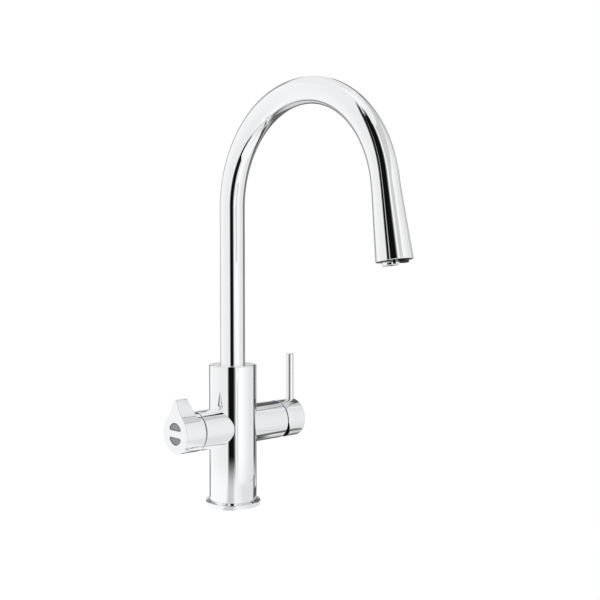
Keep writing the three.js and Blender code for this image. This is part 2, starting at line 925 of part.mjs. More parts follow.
function turnCarrier() {
  const skirtRadius = housingBore - runningGap;
  const body = turned([
    [0, carrierStart],
    [skirtRadius, carrierStart],
    [skirtRadius, carrierShoulder],
    [carrierNeckRadius, carrierShoulder],
    [carrierNeckRadius, carrierEnd],
    [0, carrierEnd],
  ]);
  const slide = sliderBossHalfWidth + runningGap;
  const slideSlot = block(
    -slide,
    slide,
    -sliderBossHalfHeight - runningGap,
    sliderBossHalfHeight + discTravel + 2 * runningGap,
    carrierStart - 1,
    carrierShoulder - runningGap,
  );
  const swing = (carrierEnd - tiltPivot) * Math.tan(radians(tiltDegrees));
  const stemRoom = swing + stemHalfWidth / Math.cos(radians(tiltDegrees)) + 2 * runningGap;
  const stemSlot = block(
    -stemHalfWidth - runningGap,
    stemHalfWidth + runningGap,
    -stemRoom,
    stemRoom,
    carrierStart,
    carrierEnd + 1,
  );
  return cutBy(body, slideSlot, stemSlot, tiltPinHole());
}

function tiltPinHole() {
  const reach = housingBore;
  const hole = disc(tiltPinRadius + runningGap, -reach, reach);
  return along(hole, [1, 0, 0], 0, 0, tiltPivot);
}

function tiltPin() {
  const half = Math.sqrt(carrierNeckRadius ** 2 - tiltPinRadius ** 2) - 0.2;
  return along(disc(tiltPinRadius, -half, half), [1, 0, 0], 0, 0, tiltPivot);
}

addPiece(
  mixer,
  "mixer_fixed_disc",
  ceramic,
  portedDisc(fixedDiscRadius, fixedDiscStart, mixerFixedDisc),
);
addPiece(mixer, "mixer_cartridge_housing", palePlastic, mixerHousing());
addPiece(
  mixer,
  "mixer_cartridge_nut",
  blackPlastic,
  spannerNut(noseRadius + nutBoreGap, nutStart, nutThickness),
);
addPiece(mixer, "mixer_moving_disc", ceramic, mixerMovingDiscBody());
addPiece(mixer, "mixer_disc_slider", palePlastic, mixerSlider());
addPiece(mixer, "mixer_turn_carrier", blackPlastic, turnCarrier());
addPiece(mixer, "mixer_tilt_pin", steel, tiltPin());

// ---------------------------------------------------------------- mixer lever

function mixerStem() {
  const squareStart = tiltPivot - stemSquareInset;
  const square = block(
    -stemHalfWidth,
    stemHalfWidth,
    -stemHalfWidth,
    stemHalfWidth,
    squareStart,
    stemEnd,
  );
  const ball = Array.from({ length: 5 }, (_, i) => {
    const angle = radians(-90 + 32 * i);
    return [stemBallRadius * Math.cos(angle), ballPlace + stemBallRadius * Math.sin(angle)];
  });
  const tail = turned([
    ...ball,
    [stemTailRadius, ballPlace + stemBallRadius],
    [stemTailRadius, squareStart + 1],
    [0, squareStart + 1],
  ]);
  return cutBy(unionOf(square, tail), tiltPinHole());
}

// The half-space below the axis that the slanted cut takes from the cap's inner edge.
function capWedge() {
  const slope = Math.tan(radians(wedgeDegrees));
  const shape = new THREE.Shape();
  const low = -2 * barrelRadius;
  shape.moveTo(capStart - 1, -wedgeStart);
  shape.lineTo(capStart, -wedgeStart);
  shape.lineTo(capStart - (low + wedgeStart) * slope, low);
  shape.lineTo(capStart - 1, low);
  shape.closePath();
  const half = barrelRadius + 1;
  const cutter = prism(shape, -half, half);
  // Drawn with X outwards and Y up, and turned so that it lies across the side frame.
  return cutter.rotate([0, -90, 0]);
}

function mixerCap() {
  const body = turned(
    [
      [0, capStart],
      [capRadius - 0.4, capStart],
      [capRadius, capStart + 0.4],
      ...roundedEdge(capRadius, capEnd, capEdge, 2),
      [0, capEnd],
    ],
    barrelSides,
  );
  const hollow = disc(capRadius - capWall, capStart - 1, capStart + capCavity);
  const socket = block(
    -squareHole,
    squareHole,
    -squareHole,
    squareHole,
    capStart,
    stemEnd + seatGap,
  );
  const leverHole = along(
    disc(leverStudRadius + seatGap, 0, barrelRadius + 1),
    [0, 1, 0],
    0,
    capRadius - leverStudDepth - seatGap,
    leverPlace,
  );
  const grubHole = along(
    disc(grubRadius + seatGap, 0, barrelRadius + 1),
    [0, -1, 0],
    0,
    0,
    mixerGrubPlace,
  );
  return cutBy(body, hollow, socket, leverHole, grubHole, capWedge());
}

function leverPin() {
  const top = leverTop - barrelHeight;
  const foot = capRadius - leverStudDepth;
  const bar = along(
    turned(
      [
        [0, 0],
        [leverRadius, 0],
        ...roundedEdge(leverRadius, top, leverEdge),
        [0, top],
      ],
      leverSides,
    ),
    [0, 1, 0],
    0,
    0,
    leverPlace,
  );
  const saddle = disc(capRadius + seatGap, capStart, capEnd + leverRadius, barrelSides);
  const stud = along(disc(leverStudRadius, foot, capRadius + 2), [0, 1, 0], 0, 0, leverPlace);
  return unionOf(cutBy(bar, saddle), stud);
}

function setScrewBelow(place, gap) {
  const screw = grubScrew(grubRadius, grubLength, grubHexRadius, grubHexDepth);
  return along(screw, [0, -1, 0], 0, -stemHalfWidth - gap, place);
}

addPiece(mixer, "mixer_stem", brass, mixerStem());
addPiece(mixer, "mixer_cap", chrome, mixerCap());
addPiece(mixer, "mixer_lever_pin", chrome, leverPin());
addPiece(mixer, "mixer_grub_screw", steel, setScrewBelow(mixerGrubPlace, seatGap));

// ---------------------------------------------------------------- selector valve

function selectorHousing() {
  const bore = spindleRadius + runningGap;
  const topStart = selectorHousingEnd - selectorHousingTop;
  return turned([
    [housingBore, fixedDiscStart],
    [fitRadius, fixedDiscStart],
    [fitRadius, selectorHousingEnd],
    [bore, selectorHousingEnd],
    [bore, topStart],
    [housingBore, topStart],
    [housingBore, fixedDiscStart],
  ]);
}

function selectorMovingDiscBody() {
  const body = disc(
    selectorMovingDiscRadius,
    selectorMovingStart,
    selectorMovingStart + selectorMovingDisc,
  );
  const window = ringSector(
    4,
    9.5,
    35,
    145,
    selectorMovingStart - 1,
    selectorMovingStart + selectorMovingDisc / 2,
  );
  return cutBy(body, window);
}

function selectorSpindle() {
  const round = turned([
    [0, forkStart],
    [forkPlateRadius, forkStart],
    [forkPlateRadius, forkEnd],
    [spindleRadius, forkEnd],
    [spindleRadius, collarEnd],
    [0, collarEnd],
  ]);
  const square = block(
    -stemHalfWidth,
    stemHalfWidth,
    -stemHalfWidth,
    stemHalfWidth,
    collarEnd - 1,
    spindleEnd,
  );
  return unionOf(round, square);
}

addPiece(
  selector,
  "selector_fixed_disc",
  ceramic,
  portedDisc(fixedDiscRadius, fixedDiscStart, selectorFixedDisc),
);
addPiece(selector, "selector_valve_housing", brass, selectorHousing());
addPiece(
  selector,
  "selector_valve_nut",
  brass,
  spannerNut(spindleRadius + 2, selectorNutStart, selectorNutThickness),
);
addPiece(selector, "selector_moving_disc", ceramic, selectorMovingDiscBody());
addPiece(selector, "selector_spindle", brass, selectorSpindle());

// ---------------------------------------------------------------- selector knob

// A round body with a finger wing: each flank leaves the circle along its tangent and ends in the
// rounded tip.
function teardrop() {
  const foot = radians(90 - wingFootDegrees);
  const footX = barrelRadius * Math.cos(foot);
  const pullX = -wingFootPull * Math.sin(foot);
  const pullY = wingFootPull * Math.cos(foot);
  const turn = radians(wingTipDegrees);
  const tipCentre = wingHeight - wingTipRadius;
  const tipX = wingTipRadius * Math.sin(turn);
  const tipY = tipCentre + wingTipRadius * Math.cos(turn);
  const across = wingTipPull * Math.cos(turn);
  const down = wingTipPull * Math.sin(turn);
  const shape = new THREE.Shape();
  shape.moveTo(-tipX, tipY);
  shape.bezierCurveTo(
    -tipX - across,
    tipY - down,
    -footX - pullX,
    wingFoot + pullY,
    -footX,
    wingFoot,
  );
  shape.absarc(0, 0, barrelRadius, Math.PI - foot, 2 * Math.PI + foot, false);
  shape.bezierCurveTo(
    footX + pullX,
    wingFoot + pullY,
    tipX + across,
    tipY - down,
    tipX,
    tipY,
  );
  for (const share of [0.5, 0, -0.5]) {
    shape.lineTo(
      wingTipRadius * Math.sin(share * turn),
      tipCentre + wingTipRadius * Math.cos(share * turn),
    );
  }
  shape.closePath();
  return shape;
}

// A half-moon above the axis: a segment of a circle with rounded corners.
function halfMoon(radius, flat, corner) {
  const cornerY = flat + corner;
  const cornerX = Math.sqrt((radius - corner) ** 2 - cornerY ** 2);
  const turn = Math.atan2(cornerY, cornerX);
  const shape = new THREE.Shape();
  shape.moveTo(-cornerX, flat);
  shape.lineTo(cornerX, flat);
  shape.absarc(cornerX, cornerY, corner, -Math.PI / 2, turn, false);
  shape.absarc(0, 0, radius, turn, Math.PI - turn, false);
  shape.absarc(-cornerX, cornerY, corner, Math.PI - turn, (3 * Math.PI) / 2, false);
  shape.closePath();
  return shape;
}

// What is cut away behind the wing, so that only the round body is left there.
function behindWing() {
  const slope = Math.tan(radians(wingSlopeDegrees));
  const top = wingHeight + 1;
  const back = new THREE.Shape();
  back.moveTo(knobStart - 1, wingFoot);
  back.lineTo(wingBackPlace + (wingFoot - barrelRadius) / slope, wingFoot);
  back.lineTo(wingBackPlace + (top - barrelRadius) / slope, top);
  back.lineTo(knobStart - 1, top);
  back.closePath();
  const space = prism(back, -barrelRadius, barrelRadius).rotate([0, -90, 0]);
  const roundBody = turned(
    [
      [0, knobStart],
      [barrelRadius - knobEdge, knobStart],
      [barrelRadius, knobStart + knobEdge],
      [barrelRadius, knobEnd],
      [0, knobEnd],
    ],
    barrelSides,
  );
  return cutBy(space, roundBody);
}

function selectorKnob() {
  const outside = solid(
    new THREE.ExtrudeGeometry(teardrop(), {
      depth: knobEnd - knobStart - 2 * knobEdge,
      bevelThickness: knobEdge,
      bevelSize: knobEdge,
      bevelOffset: -knobEdge,
      bevelSegments: 2,
      curveSegments: 10,
    }).translate(0, 0, knobStart + knobEdge),
  );
  const hollow = disc(knobCavity, knobStart - 1, knobFaceBack);
  const openings = [0, 180].map((degrees) =>
    prism(
      halfMoon(buttonRadius + runningGap, buttonFlat - runningGap, buttonCorner + runningGap),
      knobFaceBack - 1,
      knobEnd + 1,
    ).rotate([0, 0, degrees]),
  );
  const grubHole = along(
    disc(grubRadius + seatGap, 0, barrelRadius + 1),
    [0, -1, 0],
    0,
    -hubBoreMiddle,
    knobGrubPlace,
  );
  return cutBy(outside, behindWing(), hollow, ...openings, grubHole);
}

const hubBoreMiddle = (squareHole + knobCavity) / 2;

function knobHub() {
  const body = disc(knobCavity - seatGap, hubStart, hubEnd);
  const socket = block(
    -squareHole,
    squareHole,
    -squareHole,
    squareHole,
    hubStart - 1,
    hubEnd + 1,
  );
  const grubHole = along(
    disc(grubRadius + seatGap, 0, barrelRadius),
    [0, -1, 0],
    0,
    0,
    knobGrubPlace,
  );
  return cutBy(body, socket, grubHole);
}

function switchBoard() {
  const plate = disc(knobCavity - seatGap, switchPlateStart, switchPlateEnd);
  const domes = [-1, 1].map((side) =>
    moved(
      turned([
        [0, switchPlateEnd - 0.5],
        [switchDomeRadius, switchPlateEnd - 0.5],
        [switchDomeRadius, domeTop - 0.6],
        [switchDomeRadius * 0.6, domeTop],
        [0, domeTop],
      ]),
      0,
      side * buttonCentre,
      0,
    ),
  );
  return unionOf(plate, ...domes);
}

function pushButton() {
  const cap = prism(
    halfMoon(buttonRadius, buttonFlat, buttonCorner),
    buttonFlangeBack,
    knobEnd - buttonRecess,
  );
  const flange = prism(
    halfMoon(buttonRadius + buttonFlange, buttonFlat - buttonFlange, buttonCorner),
    buttonFlangeBack,
    buttonFlangeFront,
  );
  const plunger = moved(
    disc(buttonPlungerRadius, plungerEnd, buttonFlangeBack + 0.5),
    0,
    buttonCentre,
    0,
  );
  return unionOf(cap, flange, plunger);
}

// A coil spring round the plunger, from the switch plate to the button's flange.
function buttonSpring() {
  const low = switchPlateEnd + seatGap + springWire / 2;
  const high = buttonFlangeBack - seatGap - springWire / 2;
  const stepsPerTurn = 8;
  const count = springTurns * stepsPerTurn;
  const stations = Array.from({ length: count + 1 }, (_, i) => {
    const angle = (2 * Math.PI * i) / stepsPerTurn;
    return new THREE.Vector3(
      springRadius * Math.cos(angle),
      buttonCentre + springRadius * Math.sin(angle),
      low + ((high - low) * i) / count,
    );
  });
  return solid(barAlong(stations, springWire / 2, 5));
}

addPiece(selector, "selector_knob", chrome, selectorKnob());
addPiece(selector, "knob_hub", brass, knobHub());
addPiece(selector, "knob_grub_screw", steel, setScrewBelow(knobGrubPlace, seatGap));
addPiece(selector, "button_switch_plate", boardGreen, switchBoard());
for (const [name, degrees] of [["hot_button", 0], ["cold_button", 180]]) {
  addPiece(selector, name, greyPlastic, pushButton().rotate([0, 0, degrees]));
  addPiece(selector, name + "_spring", steel, buttonSpring().rotate([0, 0, degrees]));
}

// ---------------------------------------------------------------- spout

const archSteps = 24;

// Stations of the spout's centre line: the vertical leg, the arch and the straight end.
function spoutStations(bottom, endPlaces) {
  const arch = Array.from({ length: archSteps + 1 }, (_, i) =>
    archPoint((archSweep * i) / archSteps),
  );
  const end = endPlaces.map((s) => archEnd.clone().addScaledVector(outletDirection, s));
  return [new THREE.Vector3(0, 0, bottom), ...arch, ...end];
}

// Widens a bar along the spout's straight end, by the radius wanted at each place.
function flared(geometry, radius, radiusAt) {
  const place = geometry.attributes.position;
  const point = new THREE.Vector3();
  const axis = new THREE.Vector3();
  for (let i = 0; i < place.count; i += 1) {
    point.fromBufferAttribute(place, i);
    const s = point.clone().sub(archEnd).dot(outletDirection);
    if (point.y > -archRadius || s < 0.01) continue;
    axis.copy(archEnd).addScaledVector(outletDirection, s);
    point.sub(axis).multiplyScalar(radiusAt(s) / radius).add(axis);
    place.setXYZ(i, point.x, point.y, point.z);
  }
  return geometry;
}

function flareRadius(start, s) {
  return start + flareSlope * s;
}

function spoutTube() {
  const edgeStart = spoutEndLength - outletEdge;
  const outsideAt = (s) =>
    flareRadius(tubeRadius, s) - (s > edgeStart + 0.01 ? (s - edgeStart) * 0.6 : 0);
  const boreSlope = (outletBore - tubeBore) / spoutEndLength;
  const insideAt = (s) => tubeBore + boreSlope * s;
  const edgeMiddle = spoutEndLength - outletEdge * 0.4;
  const outside = flared(
    barAlong(
      spoutStations(tubeBottom, [edgeStart, edgeMiddle, spoutEndLength]),
      tubeRadius,
      spoutSides,
    ),
    tubeRadius,
    outsideAt,
  );
  const inside = flared(
    barAlong(spoutStations(tubeBottom - 1, [spoutEndLength + 1]), tubeBore, spoutBoreSides),
    tubeBore,
    insideAt,
  );
  return cutBy(solid(outside), solid(inside));
}

// How far the filtered-water tube lies in front of the spout's centre line, along the end.
function tubeShift(s, straightFrom) {
  const share = THREE.MathUtils.clamp(s / straightFrom, 0, 1);
  return nozzleOffset * share * share * (3 - 2 * share);
}

function filteredTube() {
  const nozzleNeck = nozzleTop - seatGap;
  const tubeEnd = spoutEndLength + nozzleNeck;
  const straightFrom = tubeEnd - 2 * filteredTubeRadius;
  const shiftSteps = 6;
  const places = Array.from(
    { length: shiftSteps },
    (_, i) => (straightFrom * (i + 1)) / shiftSteps,
  );
  const stationsTo = (bottom, last) => {
    const base = spoutStations(bottom, [...places, last]);
    const places2 = [...places, last];
    const first = base.length - places2.length;
    places2.forEach((s, i) =>
      base[first + i].addScaledVector(outletForward, tubeShift(s, straightFrom)),
    );
    return base;
  };
  const low = filteredSocketBottom + seatGap;
  const bore = filteredTubeRadius - filteredTubeWall;
  return cutBy(
    solid(barAlong(stationsTo(low, tubeEnd), filteredTubeRadius, 8)),
    solid(barAlong(stationsTo(low - 1, tubeEnd + 1), bore, 6)),
  );
}

addPiece(tap, "spout_tube", chrome, spoutTube());

// ---------------------------------------------------------------- spout foot and bearings

function grooveAt(centre, width) {
  return ring(grooveRadius, tubeRadius + 1, centre - width / 2, centre + width / 2);
}

const lowerRingHeight = footBottom + lowerRingPlace;
const upperRingHeight = footBottom + upperRingPlace;
const clipHeight = footBottom + clipPlace;

function spoutFoot() {
  const spigot = tubeBore - seatGap;
  const body = turned(
    [
      [footBoreRadius, footBottom],
      [tubeRadius, footBottom],
      [tubeRadius, footTop],
      [spigot, footTop],
      [spigot, footTop + footSpigot],
      [footBoreRadius, footTop + footSpigot],
      [footBoreRadius, footBottom],
    ],
    20,
  );
  const screwShare = (stopScrewRadius + runningGap) / stopTip;
  const stopHalf = swivelDegrees + THREE.MathUtils.radToDeg(Math.asin(screwShare));
  const stopArc = ringSector(
    grooveRadius,
    tubeRadius + 1,
    90 - stopHalf,
    90 + stopHalf,
    stopHeight - stopGroove / 2,
    stopHeight + stopGroove / 2,
    8,
  );
  return cutBy(
    body,
    grooveAt(lowerRingHeight, ringGroove),
    grooveAt(upperRingHeight, ringGroove),
    grooveAt(clipHeight, clipThickness + 2 * seatGap),
    stopArc,
  );
}

function retainingClip() {
  const inner = grooveRadius + seatGap;
  const half = clipOpeningDegrees / 2;
  return ringSector(
    inner,
    inner + clipWidth,
    -90 + half,
    270 - half,
    clipHeight - clipThickness / 2,
    clipHeight + clipThickness / 2,
    9,
  );
}

function swivelStop() {
  const length = columnRadius - stopScrewInset - stopTip;
  const screw = grubScrew(stopScrewRadius, length, grubHexRadius, grubHexDepth);
  return along(screw, [0, 1, 0], 0, stopTip, stopHeight);
}

const bushInner = tubeHole;
const bushOuter = bushInner + bushWall;

addPiece(tap, "spout_foot", brass, spoutFoot());
addPiece(
  tap,
  "lower_swivel_bush",
  palePlastic,
  ring(bushInner, bushOuter, lowerBushStart, lowerBushEnd),
);
addPiece(
  tap,
  "upper_swivel_bush",
  palePlastic,
  ring(bushInner, bushOuter, upperBushStart, upperBushEnd),
);
addPiece(
  tap,
  "lower_spout_oring",
  rubber,
  roundRing((grooveRadius + footPocket) / 2, ringSection, lowerRingHeight),
);
addPiece(
  tap,
  "upper_spout_oring",
  rubber,
  roundRing((grooveRadius + footPocket) / 2, ringSection, upperRingHeight),
);
addPiece(tap, "spout_retaining_clip", steel, retainingClip());
addPiece(tap, "swivel_stop_screw", steel, swivelStop());

// ---------------------------------------------------------------- outlet

const nozzleFlangeTop = plateHigh - seatGap - nozzleFlangeThickness;
const nozzleTop = nozzleFlangeTop - seatGap;

function outletPlate() {
  const boreSlope = (outletBore - tubeBore) / spoutEndLength;
  const lowRadius = outletBore + boreSlope * plateLow - seatGap;
  const highRadius = outletBore + boreSlope * plateHigh - seatGap;
  const body = turned([
    [0, plateHigh],
    [highRadius, plateHigh],
    [lowRadius, plateLow],
    [0, plateLow],
  ]);
  const bore = moved(
    disc(aeratorRadius + seatGap, aeratorTop - aeratorSeal - 2 * seatGap, 1),
    0,
    aeratorOffset,
    0,
  );
  const shoulderBore = moved(
    disc(aeratorRadius - aeratorShoulder, plateHigh - 1, 1),
    0,
    aeratorOffset,
    0,
  );
  const nozzleHole = prism(
    stadium(nozzleHalfLength, nozzleRadius + seatGap),
    plateHigh - 1,
    1,
  );
  return cutBy(body, bore, shoulderBore, moved(nozzleHole, 0, nozzleOffset, 0));
}

const aeratorTop = -aeratorSeat;

function aeratorShell() {
  const inner = aeratorRadius - aeratorWall;
  const edge = 0.5;
  return moved(
    turned([
      [inner, aeratorTop],
      [aeratorRadius, aeratorTop],
      ...roundedEdge(aeratorRadius, aeratorDrop, edge, 2),
      [inner, aeratorDrop],
      [inner, aeratorTop],
    ]),
    0,
    aeratorOffset,
    0,
  );
}

// A round insert with one hole in the middle and rings of holes round it.
function aeratorInsert() {
  const radius = aeratorRadius - aeratorWall - seatGap;
  const shape = new THREE.Shape(circle(0, 0, radius, 28));
  const rings = Math.floor((radius - aeratorHoleRadius - 0.3) / aeratorHolePitch);
  for (let ringIndex = 0; ringIndex <= rings; ringIndex += 1) {
    const centres = circle(0, 0, ringIndex * aeratorHolePitch, Math.max(1, 6 * ringIndex));
    for (const { x, y } of centres) {
      shape.holes.push(new THREE.Path(circle(x, y, aeratorHoleRadius, 6)));
    }
  }
  const body = prism(shape, aeratorTop + 1, aeratorDrop - aeratorInsertRecess);
  return moved(body, 0, aeratorOffset, 0);
}

function filteredNozzle() {
  const flange = prism(
    stadium(nozzleHalfLength, nozzleRadius + nozzleFlange),
    nozzleFlangeTop,
    nozzleFlangeTop + nozzleFlangeThickness,
  );
  const tip = solid(
    new THREE.ExtrudeGeometry(stadium(nozzleHalfLength, nozzleRadius), {
      depth: nozzleDrop - nozzleFlangeTop - 2 * nozzleEdge,
      bevelThickness: nozzleEdge,
      bevelSize: nozzleEdge,
      bevelOffset: -nozzleEdge,
      bevelSegments: 2,
      curveSegments: 5,
    }).translate(0, 0, nozzleFlangeTop + nozzleEdge),
  );
  const barbRadius = filteredTubeRadius - filteredTubeWall - seatGap;
  const barb = disc(barbRadius, nozzleFlangeTop - nozzleBarbLength, nozzleFlangeTop + 1);
  const bore = disc(nozzleBoreRadius, nozzleFlangeTop - nozzleBarbLength - 1, nozzleDrop + 1);
  return moved(cutBy(unionOf(flange, tip, barb), bore), 0, nozzleOffset, 0);
}

addPiece(outlet, "outlet_plate", blackPlastic, outletPlate());
addPiece(outlet, "aerator_shell", chrome, aeratorShell());
addPiece(outlet, "aerator_insert", greyPlastic, aeratorInsert());
addPiece(
  outlet,
  "aerator_seal",
  rubber,
  moved(
    ring(
      aeratorRadius - aeratorShoulder,
      aeratorRadius,
      aeratorTop - seatGap - aeratorSeal,
      aeratorTop - seatGap,
    ),
    0,
    aeratorOffset,
    0,
  ),
);
addPiece(outlet, "filtered_nozzle", rubber, filteredNozzle());
addPiece(tap, "filtered_water_tube", palePlastic, filteredTube());
addPiece(
  tap,
  "filtered_tube_oring",
  rubber,
  roundRing(
    filteredTubeRadius + filteredGrooveWidth / 2,
    filteredRingSection,
    pocketFloor - filteredRingPlace,
  ),
);

export default tap;
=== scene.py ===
"""Boiling water tap: the looks of a chrome column tap with a gooseneck spout.

Sizes are in millimetres in the classes and become metres in the meshes. +Z is up, -Y is the
spout's side, +X the mixer's side and -X the selector's side.
"""

import json
import logging
import math
from dataclasses import dataclass, field
from enum import Enum

import bmesh
import bpy
import numpy as np
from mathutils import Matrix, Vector

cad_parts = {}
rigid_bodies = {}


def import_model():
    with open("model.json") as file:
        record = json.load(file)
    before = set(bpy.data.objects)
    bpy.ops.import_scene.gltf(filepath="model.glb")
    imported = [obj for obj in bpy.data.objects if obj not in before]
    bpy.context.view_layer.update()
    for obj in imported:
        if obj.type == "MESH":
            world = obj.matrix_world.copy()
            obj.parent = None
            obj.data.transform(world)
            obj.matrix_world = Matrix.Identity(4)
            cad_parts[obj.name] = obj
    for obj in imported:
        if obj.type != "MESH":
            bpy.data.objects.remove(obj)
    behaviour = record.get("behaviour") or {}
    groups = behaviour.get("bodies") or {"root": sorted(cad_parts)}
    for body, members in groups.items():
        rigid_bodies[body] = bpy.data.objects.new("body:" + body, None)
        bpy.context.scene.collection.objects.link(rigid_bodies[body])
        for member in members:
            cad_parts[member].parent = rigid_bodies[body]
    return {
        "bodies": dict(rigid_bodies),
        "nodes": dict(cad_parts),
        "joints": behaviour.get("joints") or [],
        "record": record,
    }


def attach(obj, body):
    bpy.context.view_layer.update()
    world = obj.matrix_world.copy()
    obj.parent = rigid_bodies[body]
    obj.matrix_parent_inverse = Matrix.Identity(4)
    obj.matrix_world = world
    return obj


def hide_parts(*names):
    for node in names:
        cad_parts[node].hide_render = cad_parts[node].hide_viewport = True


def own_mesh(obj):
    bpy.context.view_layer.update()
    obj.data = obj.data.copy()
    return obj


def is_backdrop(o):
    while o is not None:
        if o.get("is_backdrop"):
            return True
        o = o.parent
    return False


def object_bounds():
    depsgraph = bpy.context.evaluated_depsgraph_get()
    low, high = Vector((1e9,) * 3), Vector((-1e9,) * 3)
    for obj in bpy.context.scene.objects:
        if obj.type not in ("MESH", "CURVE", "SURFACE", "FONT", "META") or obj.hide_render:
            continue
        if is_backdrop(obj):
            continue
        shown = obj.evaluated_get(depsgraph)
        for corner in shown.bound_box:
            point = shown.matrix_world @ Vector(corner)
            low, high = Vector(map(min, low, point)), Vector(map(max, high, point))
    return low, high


log = logging.getLogger("tap")

MM = 0.001
TURN = 2 * math.pi
DEGREES = 180 / math.pi

# The barrels' axis above the worktop, and the strip beside a rounding that keeps the flat
# next to it evenly shaded, in mm.
BARREL_HEIGHT = 80.35
FLAT_MARGIN = 0.12


# ---------------------------------------------------------------- places


@dataclass(frozen=True)
class Place:
    """A local frame: an origin in millimetres and three unit directions."""

    origin: tuple[float, float, float] = (0.0, 0.0, 0.0)
    across: tuple[float, float, float] = (1.0, 0.0, 0.0)
    up: tuple[float, float, float] = (0.0, 1.0, 0.0)
    out: tuple[float, float, float] = (0.0, 0.0, 1.0)

    def points(self, x: np.ndarray, y: np.ndarray, z: np.ndarray) -> np.ndarray:
        """Origin + x across + y up + z out, for whole arrays.

        Args:
            x: Places across, in mm.
            y: Places up, in mm.
            z: Places out, in mm.

        Returns:
            An array of points with one more axis of length 3.
        """
        x, y, z = np.broadcast_arrays(x, y, z)
        basis = np.array([self.across, self.up, self.out])
        return np.stack([x, y, z], axis=-1) @ basis + np.array(self.origin)

    def stack(self, rings: list[tuple[np.ndarray, object]]) -> np.ndarray:
        """Points of rings, each an outline with a height for the whole ring or each point.

        Args:
            rings: Pairs of an outline (n, 2) and a height or n heights, in mm.

        Returns:
            An array of shape (rings, n, 3).
        """
        return np.stack([self.points(line[:, 0], line[:, 1], height) for line, height in rings])


# ---------------------------------------------------------------- outlines and profiles


def circle_points(radius: float, angles: np.ndarray) -> np.ndarray:
    """Points (radius cos a, radius sin a).

    Args:
        radius: Radius in mm.
        angles: Angles in radians.

    Returns:
        An array of shape (len(angles), 2).
    """
    return radius * np.stack([np.cos(angles), np.sin(angles)], axis=-1)


def full_turn(count: int) -> np.ndarray:
    """Angles of equal steps round a full turn, the last step left out."""
    return np.arange(count) * TURN / count


def filleted(corners: list[tuple], closed: bool = False, steps: int = 7) -> np.ndarray:
    """A polyline with its corners rounded.

    Each corner (a, b, radius) with a radius becomes an arc that touches both sides, with one
    more point a little before and after it so that flat sides keep flat shading.

    Args:
        corners: Corner points with their rounding radius, in mm.
        closed: True where the last corner leads back to the first.
        steps: Steps in each arc.

    Returns:
        An array of shape (n, 2).
    """
    count = len(corners)
    parts = []
    for i, (a, b, radius) in enumerate(corners):
        here = np.array([a, b])
        if radius <= 0 or (not closed and i in (0, count - 1)):
            parts.append(here[None])
            continue
        before = np.array(corners[(i - 1) % count][:2]) - here
        after = np.array(corners[(i + 1) % count][:2]) - here
        before /= np.linalg.norm(before)
        after /= np.linalg.norm(after)
        half = math.acos(np.clip(before @ after, -1, 1)) / 2
        reach = radius / math.tan(half)
        middle = (before + after) / np.linalg.norm(before + after)
        centre = here + middle * radius / math.sin(half)
        start, end = here + before * reach - centre, here + after * reach - centre
        first = math.atan2(start[1], start[0])
        sweep = (math.atan2(end[1], end[0]) - first + math.pi) % TURN - math.pi
        arc = centre + circle_points(radius, first + np.linspace(0, 1, steps + 1) * sweep)
        margin = min(0.25 * radius, FLAT_MARGIN)
        parts += [(arc[0] + before * margin)[None], arc, (arc[-1] + after * margin)[None]]
    return np.concatenate(parts)


def quarter_round(size: float, steps: int = 5) -> list[tuple[float, float]]:
    """Pairs of (still to go sideways, already gone along) round a quarter circle.

    Args:
        size: The rounding's radius, in mm.
        steps: Steps in the quarter.

    Returns:
        The pairs, from (size, 0) to (0, size).
    """
    bend = np.linspace(0, math.pi / 2, steps + 1)
    return [(size * (1 - math.sin(b)), size * (1 - math.cos(b))) for b in bend]


def normals_of(outline: np.ndarray) -> np.ndarray:
    """Unit outward normals of a closed outline that runs anticlockwise.

    Args:
        outline: Points of shape (n, 2).

    Returns:
        An array of shape (n, 2): the tangent between both neighbours, turned a quarter right.
    """
    tangent = np.roll(outline, -1, axis=0) - np.roll(outline, 1, axis=0)
    normal = np.stack([tangent[:, 1], -tangent[:, 0]], axis=-1)
    return normal / np.linalg.norm(normal, axis=1, keepdims=True)


def half_moon(radius: float, flat: float, corner: float, count: int) -> np.ndarray:
    """A segment of a circle above a flat side, with rounded corners.

    The arc, the two corner arcs and the flat side are sampled evenly by their length.

    Args:
        radius: Radius of the circle, in mm.
        flat: Height of the flat side over the circle's centre, in mm.
        corner: Radius of the corners, in mm.
        count: Number of points.

    Returns:
        An anticlockwise outline of shape (count, 2), from the middle of the flat side.
    """
    corner_y = flat + corner
    corner_x = math.sqrt((radius - corner) ** 2 - corner_y**2)
    turn = math.atan2(corner_y, corner_x)
    right = [corner_x, corner_y] + circle_points(corner, np.linspace(-math.pi / 2, turn, 12))
    arc = circle_points(radius, np.linspace(turn, math.pi - turn, 60))
    middle = [[0, flat]]
    dense = np.concatenate([middle, right, arc, right[::-1] * [-1, 1], middle])
    return spaced(dense, np.arange(count) / count)


def spaced(line: np.ndarray, shares: np.ndarray) -> np.ndarray:
    """Points at shares of a line's length.

    Args:
        line: Points of shape (n, 2).
        shares: Shares from 0 to 1.

    Returns:
        An array of shape (len(shares), 2).
    """
    length = np.concatenate([[0], np.cumsum(np.linalg.norm(np.diff(line, axis=0), axis=1))])
    wanted = shares * length[-1]
    return np.stack([np.interp(wanted, length, line[:, k]) for k in (0, 1)], axis=-1)


def rays_to(line: np.ndarray, centre: np.ndarray) -> np.ndarray:
    """The bearings of a line's points from a centre, in radians."""
    return np.arctan2(line[:, 1] - centre[1], line[:, 0] - centre[0])


def cells(index: np.ndarray) -> np.ndarray:
    """The quads of a grid of point numbers, as an array of shape (n, 4)."""
    corners_of = [index[:-1, :-1], index[:-1, 1:], index[1:, 1:], index[1:, :-1]]
    return np.stack(corners_of, axis=-1).reshape(-1, 4)


# ---------------------------------------------------------------- meshes


